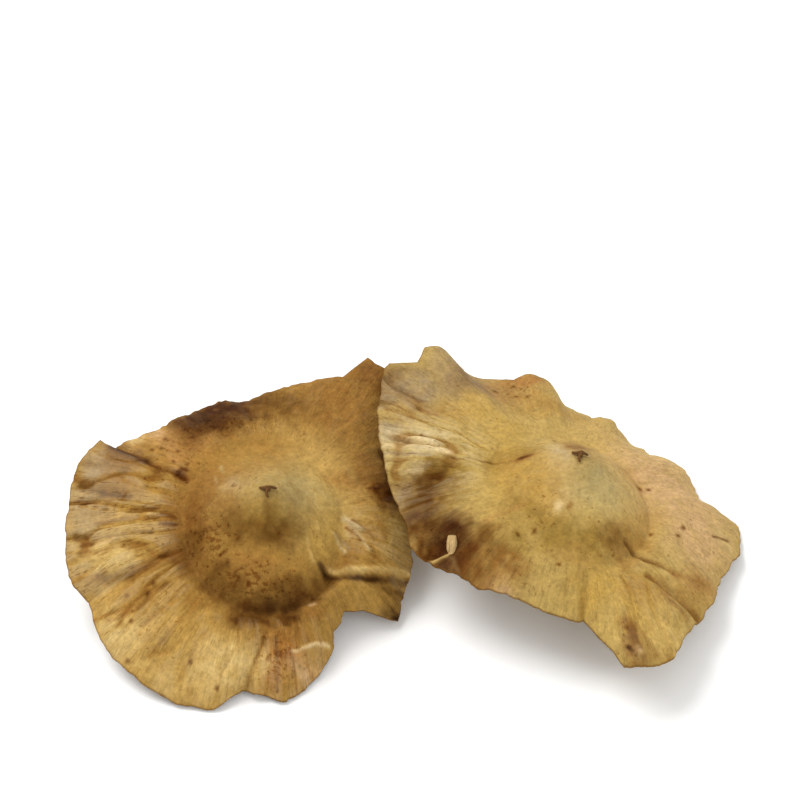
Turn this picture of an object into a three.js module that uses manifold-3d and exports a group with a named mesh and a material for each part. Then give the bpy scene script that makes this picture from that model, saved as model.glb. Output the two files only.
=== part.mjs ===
// Two dried paliurus fruits: papery winged discs around a domed seed body,
// one lying with its edge over the other. Millimetres, +Z up, table at z = 0.
import * as THREE from 'three';
import { mergeVertices } from 'three/addons/utils/BufferGeometryUtils.js';
import Module from 'manifold-3d';

const wasm = await Module();
wasm.setup();

// Driving dimensions, in millimetres and degrees.
const WING_THICKNESS = 0.4;
const MARGIN_THICKNESS = 0.3;
const LIFT_POWER = 1.3; // above 1, the wing leaves the body nearly level and bends near the margin
const GROOVE_WIDTH = 0.8; // half width of the ring groove around the seed body
const FOLD_START = 0.35; // share of a fold's height at the end where it begins
const UNDER_BODY_REACH = 0.8; // underside bulge, as a share of the groove's radius
const UNDER_BODY_DEPTH = 2.9;
const UNDER_BODY_RIM = -0.35; // level of the underside just outside that bulge
const UNDER_BODY_POWER = 0.7; // below 1, the bulge has a flat bottom and steep sides
const UNDER_SEAT_RADIUS = 1.6; // flat seat for the stalk's cup
const STYLE_GAP = 0.12;
const STYLE_CORE = 0.2; // radius of the style between its arms
const STYLE_REACH = 0.85;
const STYLE_HEIGHT = 0.45;
const STYLE_ARMS = 3;
const STYLE_FALL = 0.65; // share of its height that an arm loses towards its tip
const STALK_GAP = 0.15;
const STALK_RADIUS = 0.55;
const STALK_DROP = 1.7; // how far the stalk runs straight down from the body before it bends
const STALK_RISE = 1.6; // how far it stands straight up from its cut foot
const CUP_RADII = [1.45, 1.5, 0.8]; // the calyx cup, from the body downwards
const FOOT_FLARE = 0.07;

// How finely the surfaces are cut.
const WIDEST_STEP = 4; // degrees between neighbouring radial lines
const STYLE_STEP = 10;
const STALK_RINGS = 8;
const STALK_SIDES = 12;
const SPLINTER_SIDES = 8;

// Shares of the groove's radius, and of the way from groove to margin.
const BODY_RINGS = [0.16, 0.35, 0.52, 0.68, 0.82, 0.92];
const WING_RINGS = [0.0, 0.1, 0.25, 0.42, 0.6, 0.8, 1.0];
const UNDER_BODY_RINGS = [0.25, 0.45, 0.62, 0.74, 0.84];
const UNDER_WING_RINGS = [0.0, 0.3, 0.65, 1.0];
const STYLE_TOP_RINGS = [0.35, 0.7, 1];
const STYLE_UNDER_RINGS = [0.5, 1];

// Each margin station: bearing in degrees, reach from the axis, lift above the groove.
// Pairs run from the side where the body flows into the wing to the full side opposite.
const LEFT_FRUIT = {
  name: 'left',
  centre: new THREE.Vector3(-11.1, -0.2, 6.9),
  lean: 14,
  leanTowards: -63,
  domeHeight: 4.1,
  crownOffset: new THREE.Vector2(0, 0.4), // from the axis to the top of the dome
  crownTip: { height: 1.0, width: 2.2 }, // small cone under the style, part of the dome's height
  grooveRadius: 6.4,
  grooveBulge: 1.9, // extra groove radius on the full side
  fullSide: 275,
  grooveDepth: [0.05, 0.5],
  roundness: [0.3, 0.95], // 1 is a round cap, 0 is a bell that flows into the wing
  swell: [0.25, 0.75], // how far the wing bows up between body and margin
  margin: [
    [3, 11.8, -2.0], [20, 12.4, -1.9], [35, 13.9, -2.4], [56, 18.5, -3.0], [63, 18.4, -2.9],
    [66, 15.4, -2.2], [78, 13.9, -2.7], [96, 11.9, -3.2], [108, 12.3, -3.2], [120, 11.9, -3.0],
    [138, 12.4, -2.8], [150, 13.8, -2.6], [152, 14.9, -1.8], [162, 15.5, -2.2], [172, 15.6, -2.6],
    [186, 15.5, -3.0], [195, 15.9, -3.1], [201, 15.6, -3.4], [206, 14.8, -3.6], [212, 15.3, -3.7],
    [222, 15.9, -3.8], [232, 16.0, -3.8], [248, 15.9, -3.8], [258, 15.6, -3.7], [266, 13.6, -2.9],
    [275, 14.2, -3.2], [280, 14.6, -3.2], [299, 12.0, -3.5], [303, 11.4, -3.4], [306, 10.4, -3.0],
    [315, 9.7, -2.4], [322, 10.8, -2.4], [329, 13.1, -3.6], [335, 12.6, -3.3], [344, 12.6, -2.4],
  ],
  // Each fold: start and end as [bearing, reach], height (minus is a valley), half width.
  folds: [
    { from: [154, 7.3], to: [151, 14.4], height: -0.6, width: 0.5 },
    { from: [319, 6.7], to: [344, 12.7], height: 0.5, width: 0.5 },
    { from: [314, 6.9], to: [340, 12.5], height: -0.6, width: 0.5 },
    { from: [206, 8.5], to: [206, 14.8], height: -0.45, width: 0.7 },
    { from: [273, 9.5], to: [266, 13.6], height: -0.6, width: 0.7 },
    { from: [283, 11.6], to: [302, 11.4], height: 0.35, width: 0.4 },
    { from: [168, 8.5], to: [167, 15.0], height: 0.3, width: 0.6 },
    { from: [180, 8.5], to: [180, 15.0], height: -0.3, width: 0.5 },
    { from: [192, 9.0], to: [193, 15.2], height: 0.3, width: 0.6 },
    { from: [230, 10.0], to: [232, 15.5], height: 0.25, width: 1.3 },
  ],
  hollows: [],
  stalkFoot: new THREE.Vector3(-12.3, 3.2, 0),
  styleTurn: 35, // bearing of the style's first arm
};

const RIGHT_FRUIT = {
  name: 'right',
  centre: new THREE.Vector3(13.2, 1.9, 7.2),
  lean: 16,
  leanTowards: 31,
  domeHeight: 3.4,
  crownOffset: new THREE.Vector2(0.1, 0.85),
  crownTip: { height: 0.4, width: 1.6 },
  grooveRadius: 6.6,
  grooveBulge: 1.2,
  fullSide: 290,
  grooveDepth: [0, 0.25],
  roundness: [0.3, 0.7],
  swell: [0.15, 0.5],
  margin: [
    [10, 15.7, -2.9], [23, 13.3, -2.8], [35, 13.5, -2.2], [48, 12.2, -2.4], [60, 12.6, -2.8],
    [68, 13.1, -2.2], [75, 12.4, -2.2], [85, 13.6, -2.6], [91, 14.8, -1.6], [98, 15.6, -1.2],
    [103, 15.1, -1.6], [112, 16.3, -2.4], [117, 17.2, -2.0], [122, 18.6, -0.8], [126, 19.2, -0.6],
    [130, 18.4, -1.1], [136, 19.8, -1.4], [145, 18.2, -1.3], [156, 16.6, -1.3], [167, 15.3, -1.6],
    [180, 13.6, -3.0], [195, 12.8, -3.6], [203, 13.3, -3.6], [211, 12.3, -3.8], [228, 11.3, -3.2],
    [250, 10.4, -3.0], [270, 11.0, -3.0], [274, 11.4, -3.0], [278, 11.0, -3.0], [283, 14.7, -2.4],
    [286, 16.3, -2.8], [295, 16.6, -2.8], [302, 16.3, -2.6], [308, 15.2, -2.4], [319, 14.4, -2.4],
    [343, 13.8, -2.8], [359, 15.2, -3.0],
  ],
  folds: [
    { from: [142, 12.5], to: [140, 18.0], height: -0.5, width: 0.8 },
    { from: [170, 9.5], to: [169, 15.0], height: 0.3, width: 0.6 },
    { from: [184, 8.5], to: [178, 13.0], height: -0.7, width: 1.1 },
    { from: [236, 8.0], to: [232, 11.2], height: -0.5, width: 0.9 },
    { from: [304, 9.0], to: [320, 14.4], height: -0.6, width: 0.6 },
    { from: [352, 9.5], to: [354, 14.5], height: 0.3, width: 1.2 },
    { from: [125, 12.5], to: [124, 18.4], height: 0.3, width: 1.0 },
    { from: [290, 11.0], to: [291, 16.0], height: 0.25, width: 0.9 },
  ],
  // Each hollow: centre as [bearing, reach], depth, radius.
  hollows: [{ at: [207, 11.2], depth: 1.1, radius: 1.5 }],
  // A torn splinter of the wing that stands in the hollow, with a flat pale end.
  splinter: {
    foot: new THREE.Vector3(-8.97, -6.25, -3.0),
    tip: new THREE.Vector3(-9.25, -5.2, -1.75),
    radii: [0.4, 0.41, 0.38, 0.31],
  },
  stalkFoot: new THREE.Vector3(11.8, 0.6, 0),
  styleTurn: 35,
};

const radians = THREE.MathUtils.degToRad;

// A smooth bump: 1 at no distance, fading out over the width.
function bump(distance, width) {
  return Math.exp(-((distance / width) ** 2));
}

function polarPoint([bearing, reach]) {
  const angle = radians(bearing);
  return new THREE.Vector2(reach * Math.cos(angle), reach * Math.sin(angle));
}

// Radial lines through every station, with evenly spread lines between them.
function bearingsThrough(stations) {
  const bearings = [];
  stations.forEach(([bearing], index) => {
    const last = index === stations.length - 1;
    const next = last ? stations[0][0] + 360 : stations[index + 1][0];
    const steps = Math.ceil((next - bearing) / WIDEST_STEP);
    for (let step = 0; step < steps; step += 1) {
      bearings.push(bearing + ((next - bearing) * step) / steps);
    }
  });
  return bearings;
}

// Reach runs straight from station to station; lift follows a smooth curve through them.
function marginAt(stations, bearing) {
  const count = stations.length;
  const station = (index) => {
    const turns = Math.floor(index / count);
    const [angle, reach, lift] = stations[index - turns * count];
    return { angle: angle + 360 * turns, reach, lift };
  };
  let index = 0;
  while (station(index + 1).angle <= bearing) index += 1;
  const [before, from, to, after] = [-1, 0, 1, 2].map((offset) => station(index + offset));
  const gap = to.angle - from.angle;
  const t = (bearing - from.angle) / gap;
  const slopeFrom = ((to.lift - before.lift) / (to.angle - before.angle)) * gap;
  const slopeTo = ((after.lift - from.lift) / (after.angle - from.angle)) * gap;
  const bend = t * t * (3 - 2 * t);
  const tangents = t * (1 - t) * ((1 - t) * slopeFrom - t * slopeTo);
  return {
    reach: from.reach + (to.reach - from.reach) * t,
    lift: from.lift + (to.lift - from.lift) * bend + tangents,
  };
}

function grooveAt(fruit, bearing) {
  const away = radians(bearing - fruit.fullSide);
  return fruit.grooveRadius + fruit.grooveBulge * Math.max(0, Math.cos(away)) ** 2;
}

function bySide(fruit, [flowing, full], bearing) {
  const fullness = (1 + Math.cos(radians(bearing - fruit.fullSide))) / 2;
  return flowing + (full - flowing) * fullness;
}

function foldHeight(fold, point) {
  const from = polarPoint(fold.from);
  const along = polarPoint(fold.to).sub(from);
  const share = THREE.MathUtils.clamp(point.clone().sub(from).dot(along) / along.lengthSq(), 0, 1);
  const distance = point.distanceTo(from.addScaledVector(along, share));
  const taper = Math.min(1, FOLD_START + share);
  return fold.height * taper * bump(distance, fold.width);
}

function relief(fruit, point) {
  let height = 0;
  for (const fold of fruit.folds) height += foldHeight(fold, point);
  for (const hollow of fruit.hollows) {
    height -= hollow.depth * bump(point.distanceTo(polarPoint(hollow.at)), hollow.radius);
  }
  return height;
}

// Upper surface: a dome inside the groove, a bowed and folded wing outside it.
function tipHeight(fruit, reach) {
  return fruit.crownTip.height * bump(reach, fruit.crownTip.width);
}

function domeAt(fruit, bearing, share) {
  const roundness = bySide(fruit, fruit.roundness, bearing);
  const rounded = 1 - share ** 2;
  const bell = (1 + Math.cos(Math.PI * share)) / 2;
  const cap = roundness * rounded + (1 - roundness) * bell;
  const reach = grooveAt(fruit, bearing) * share;
  return (fruit.domeHeight - fruit.crownTip.height) * cap + tipHeight(fruit, reach);
}

function grooveDip(fruit, bearing, distance) {
  return bySide(fruit, fruit.grooveDepth, bearing) * bump(distance, GROOVE_WIDTH);
}

function bodyTop(fruit, bearing, share) {
  const groove = grooveAt(fruit, bearing);
  const point = polarPoint([bearing, groove * share]);
  point.addScaledVector(fruit.crownOffset, 1 - share ** 2);
  const dip = grooveDip(fruit, bearing, groove * (1 - share));
  return { point, height: domeAt(fruit, bearing, share) - dip + relief(fruit, point) };
}

function wingTop(fruit, bearing, share) {
  const margin = marginAt(fruit.margin, bearing);
  const inner = grooveAt(fruit, bearing);
  const reach = inner + (margin.reach - inner) * share;
  const point = polarPoint([bearing, reach]);
  const bow = bySide(fruit, fruit.swell, bearing) * 4 * share * (1 - share);
  const dip = grooveDip(fruit, bearing, reach - inner);
  const shape = margin.lift * share ** LIFT_POWER + bow - dip + tipHeight(fruit, reach);
  return { point, height: shape + relief(fruit, point) };
}

// Lower surface: the wing's underside, and a round body with a flat seat for the stalk.
function wingUnder(fruit, bearing, share) {
  const { point, height } = wingTop(fruit, bearing, share);
  const thickness = WING_THICKNESS + (MARGIN_THICKNESS - WING_THICKNESS) * share;
  return { point, height: height - thickness };
}

function bodyUnder(fruit, bearing, share) {
  const groove = grooveAt(fruit, bearing);
  const reach = groove * share;
  const edge = groove * UNDER_BODY_REACH;
  const q = THREE.MathUtils.clamp((reach - UNDER_SEAT_RADIUS) / (edge - UNDER_SEAT_RADIUS), 0, 1);
  const bulge = UNDER_BODY_DEPTH * (1 - q * q) ** UNDER_BODY_POWER;
  return { point: polarPoint([bearing, reach]), height: UNDER_BODY_RIM - WING_THICKNESS - bulge };
}

// A closed skin from an upper and a lower stack of rings that both run outwards.
function closedSkin(bearings, topCentre, topRings, underCentre, underRings) {
  const positions = [...topCentre.toArray()];
  const pushRing = (ring) => {
    bearings.forEach((bearing) => {
      const { point, height } = ring(bearing);
      positions.push(point.x, point.y, height);
    });
  };
  const rings = [...topRings, ...[...underRings].reverse()];
  rings.forEach(pushRing);
  positions.push(...underCentre.toArray());
  const count = bearings.length;
  const lastPoint = positions.length / 3 - 1;
  const vertex = (ring, line) => 1 + ring * count + (line % count);
  const triangles = [];
  for (let line = 0; line < count; line += 1) {
    triangles.push(0, vertex(0, line), vertex(0, line + 1));
    for (let ring = 0; ring < rings.length - 1; ring += 1) {
      const inner = [vertex(ring, line), vertex(ring, line + 1)];
      const outer = [vertex(ring + 1, line), vertex(ring + 1, line + 1)];
      triangles.push(inner[0], outer[0], outer[1], inner[0], outer[1], inner[1]);
    }
    triangles.push(lastPoint, vertex(rings.length - 1, line + 1), vertex(rings.length - 1, line));
  }
  const geometry = new THREE.BufferGeometry();
  geometry.setAttribute('position', new THREE.Float32BufferAttribute(positions, 3));
  geometry.setIndex(triangles);
  geometry.computeVertexNormals();
  return geometry;
}

function fruitGeometry(fruit) {
  const bearings = bearingsThrough(fruit.margin);
  const topRings = [
    ...BODY_RINGS.map((share) => (bearing) => bodyTop(fruit, bearing, share)),
    ...WING_RINGS.map((share) => (bearing) => wingTop(fruit, bearing, share)),
  ];
  const underRings = [
    ...UNDER_BODY_RINGS.map((share) => (bearing) => bodyUnder(fruit, bearing, share)),
    ...UNDER_WING_RINGS.map((share) => (bearing) => wingUnder(fruit, bearing, share)),
  ];
  const crown = new THREE.Vector3(...fruit.crownOffset.toArray(), fruit.domeHeight);
  const seat = new THREE.Vector3(0, 0, bodyUnder(fruit, 0, 0).height);
  const skin = closedSkin(bearings, crown, topRings, seat, underRings);
  return fruit.splinter ? withSplinter(skin, fruit.splinter) : skin;
}

function toSolid(geometry) {
  const bare = geometry.clone();
  bare.deleteAttribute('normal');
  const merged = mergeVertices(bare);
  const mesh = new wasm.Mesh({
    numProp: 3,
    vertProperties: new Float32Array(merged.attributes.position.array),
    triVerts: new Uint32Array(merged.index.array),
  });
  return new wasm.Manifold(mesh);
}

function toGeometry(solid) {
  const mesh = solid.getMesh();
  const geometry = new THREE.BufferGeometry();
  geometry.setAttribute('position', new THREE.Float32BufferAttribute(mesh.vertProperties, 3));
  geometry.setIndex(Array.from(mesh.triVerts));
  geometry.computeVertexNormals();
  return geometry;
}

function withSplinter(geometry, splinter) {
  const spine = new THREE.LineCurve3(splinter.foot, splinter.tip);
  const spur = tubeGeometry(spine, splinter.radii, SPLINTER_SIDES);
  return toGeometry(toSolid(geometry).add(toSolid(spur)));
}

// The withered style: low arms that spread from the crown of the dome.
function styleGeometry(fruit) {
  const bearings = Array.from({ length: 360 / STYLE_STEP }, (_, index) => index * STYLE_STEP);
  const armReach = (bearing) => {
    const away = radians(STYLE_ARMS * (bearing - fruit.styleTurn));
    return STYLE_CORE + (STYLE_REACH - STYLE_CORE) * Math.max(0, Math.cos(away)) ** 2;
  };
  const ringAt = (bearing, share, height) => {
    const reach = armReach(bearing) * share;
    const seat = domeAt(fruit, bearing, reach / grooveAt(fruit, bearing)) + STYLE_GAP;
    return { point: polarPoint([bearing, reach]).add(fruit.crownOffset), height: seat + height };
  };
  const topRings = STYLE_TOP_RINGS.map((share) => (bearing) => (
    ringAt(bearing, share, STYLE_HEIGHT * (1 - STYLE_FALL * share))
  ));
  const underRings = STYLE_UNDER_RINGS.map((share) => (bearing) => ringAt(bearing, share, 0));
  const under = new THREE.Vector3(...fruit.crownOffset.toArray(), fruit.domeHeight + STYLE_GAP);
  const top = under.clone().setZ(under.z + STYLE_HEIGHT);
  return closedSkin(bearings, top, topRings, under, underRings);
}

// A closed round tube along a curve whose radius follows a list, one value per ring.
function tubeGeometry(curve, radii, sides) {
  const positions = [];
  const triangles = [];
  const across = new THREE.Vector3(1, 0, 0);
  radii.forEach((radius, ring) => {
    const share = ring / (radii.length - 1);
    const tangent = curve.getTangent(share);
    const centre = curve.getPoint(share);
    const side = across.clone().addScaledVector(tangent, -across.dot(tangent)).normalize();
    const other = tangent.clone().cross(side);
    for (let corner = 0; corner < sides; corner += 1) {
      const angle = (2 * Math.PI * corner) / sides;
      const rim = centre.clone().addScaledVector(side, radius * Math.cos(angle));
      rim.addScaledVector(other, radius * Math.sin(angle));
      positions.push(...rim.toArray());
    }
  });
  const lastRing = radii.length - 1;
  const vertex = (ring, corner) => ring * sides + (corner % sides);
  for (let corner = 0; corner < sides; corner += 1) {
    for (let ring = 0; ring < lastRing; ring += 1) {
      const near = [vertex(ring, corner), vertex(ring, corner + 1)];
      const far = [vertex(ring + 1, corner), vertex(ring + 1, corner + 1)];
      triangles.push(near[0], near[1], far[1], near[0], far[1], far[0]);
    }
    if (corner > 0 && corner < sides - 1) {
      triangles.push(vertex(0, 0), vertex(0, corner + 1), vertex(0, corner));
      triangles.push(vertex(lastRing, 0), vertex(lastRing, corner), vertex(lastRing, corner + 1));
    }
  }
  const geometry = new THREE.BufferGeometry();
  geometry.setAttribute('position', new THREE.Float32BufferAttribute(positions, 3));
  geometry.setIndex(triangles);
  geometry.computeVertexNormals();
  return geometry;
}

function tilt(fruit) {
  const towards = radians(fruit.leanTowards);
  const hinge = new THREE.Vector3(-Math.sin(towards), Math.cos(towards), 0);
  return new THREE.Quaternion().setFromAxisAngle(hinge, radians(fruit.lean));
}

// The stalk hangs from a small cup under the body and ends in a flat cut on the table.
function stalkGeometry(fruit) {
  const axis = new THREE.Vector3(0, 0, 1).applyQuaternion(tilt(fruit));
  const drop = -bodyUnder(fruit, 0, 0).height + STALK_GAP;
  const top = fruit.centre.clone().addScaledVector(axis, -drop);
  const bend = top.clone().addScaledVector(axis, -STALK_DROP);
  const aboveFoot = fruit.stalkFoot.clone().setZ(STALK_RISE);
  const curve = new THREE.CubicBezierCurve3(top, bend, aboveFoot, fruit.stalkFoot);
  const radii = [...CUP_RADII];
  for (let ring = 0; ring < STALK_RINGS; ring += 1) radii.push(STALK_RADIUS);
  radii.push(STALK_RADIUS + FOOT_FLARE);
  return tubeGeometry(curve, radii, STALK_SIDES);
}

function paper(color) {
  return new THREE.MeshStandardMaterial({ color, roughness: 0.75, metalness: 0 });
}

function namedMesh(name, geometry, color) {
  const mesh = new THREE.Mesh(geometry, paper(color));
  mesh.name = name;
  return mesh;
}

function buildFruit(fruit, color) {
  const leaning = new THREE.Group();
  leaning.position.copy(fruit.centre);
  leaning.quaternion.copy(tilt(fruit));
  leaning.add(namedMesh(`${fruit.name}_fruit`, fruitGeometry(fruit), color));
  leaning.add(namedMesh(`${fruit.name}_style`, styleGeometry(fruit), 0x4a2f16));
  const group = new THREE.Group();
  group.add(leaning, namedMesh(`${fruit.name}_stalk`, stalkGeometry(fruit), 0x8a6a3c));
  return group;
}

const fruits = new THREE.Group();
fruits.add(buildFruit(LEFT_FRUIT, 0xb08f55), buildFruit(RIGHT_FRUIT, 0xb89a64));

// The origin is the middle of the pair's footprint, on the table.
fruits.updateMatrixWorld(true);
const bounds = new THREE.Box3().setFromObject(fruits, true);
const middle = bounds.getCenter(new THREE.Vector3());
fruits.position.set(-middle.x, -middle.y, -bounds.min.z);
fruits.updateMatrixWorld(true);

export default fruits;
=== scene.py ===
"""Two dried paliurus fruits: papery winged discs, one lying with its edge over the other."""

import math

import bpy
import numpy as np
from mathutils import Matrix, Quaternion, Vector


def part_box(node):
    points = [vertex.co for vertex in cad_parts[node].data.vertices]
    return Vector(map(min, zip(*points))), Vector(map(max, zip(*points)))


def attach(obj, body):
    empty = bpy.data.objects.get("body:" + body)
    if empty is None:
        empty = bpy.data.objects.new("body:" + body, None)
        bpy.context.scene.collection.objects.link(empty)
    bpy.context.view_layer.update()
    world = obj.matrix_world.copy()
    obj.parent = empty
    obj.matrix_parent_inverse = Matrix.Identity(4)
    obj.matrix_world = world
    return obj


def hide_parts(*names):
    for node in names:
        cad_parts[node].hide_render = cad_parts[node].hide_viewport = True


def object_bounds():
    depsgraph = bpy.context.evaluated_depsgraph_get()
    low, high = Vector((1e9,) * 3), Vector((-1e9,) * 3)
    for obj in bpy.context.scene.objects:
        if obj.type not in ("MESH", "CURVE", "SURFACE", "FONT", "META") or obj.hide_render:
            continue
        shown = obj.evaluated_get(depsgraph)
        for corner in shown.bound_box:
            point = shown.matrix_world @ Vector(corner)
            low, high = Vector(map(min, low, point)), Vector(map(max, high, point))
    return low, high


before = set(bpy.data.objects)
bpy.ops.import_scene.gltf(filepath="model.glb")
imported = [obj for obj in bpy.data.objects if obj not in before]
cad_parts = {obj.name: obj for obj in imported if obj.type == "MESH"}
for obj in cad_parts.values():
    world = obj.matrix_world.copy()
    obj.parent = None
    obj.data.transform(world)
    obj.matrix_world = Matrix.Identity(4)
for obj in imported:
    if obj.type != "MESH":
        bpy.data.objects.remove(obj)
CAD_LOW, CAD_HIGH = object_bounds()

bl_info = {
    "name": "Dried Paliurus Fruits",
    "version": (1, 0, 0),
    "blender": (4, 5, 0),
    "location": "View3D > Sidebar > Paliurus",
    "description": "Builds a pair of dried winged fruits with their styles, stalks and stage",
    "category": "Add Mesh",
}

MM = 0.001

# ---------------------------------------------------------------------------
# The fruits, in millimetres and degrees, each in its own frame: the axis runs
# up through the crown and heights count from the ring groove round the body.
# ---------------------------------------------------------------------------

# Colours of the dry tissue, and of the shade, shadow and highlight painted on it, as display colours.
COLOURS = {
    "pale_knot": "DEC494",
    "straw": "CAAC6E",
    "pale_straw": "C2A465",
    "pink_tan": "C09A70",
    "crown_pale": "B9A47B",
    "gold": "BC9B58",
    "wing_gold": "AA8E50",
    "deep_gold": "AD8B45",
    "pale_ochre": "A98543",
    "ochre": "9B7739",
    "dull_ochre": "926B30",
    "crown_grey": "A89461",
    "crown_green": "948054",
    "olive_gold": "866A2F",
    "grey_tan": "8C7656",
    "silver_tan": "B9A67F",
    "grey_brown": "6E522F",
    "rust": "986A37",
    "orange": "8F5823",
    "bark_tan": "835B29",
    "brown": "6F471B",
    "olive_brown": "5E3E15",
    "umber": "4B2B0B",
    "dark_umber": "341C05",
    "red_brown": "4A2505",
    "dark_red": "341703",
    "purple_brown": "4A3020",
    "near_black": "1B0C02",
}

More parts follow.
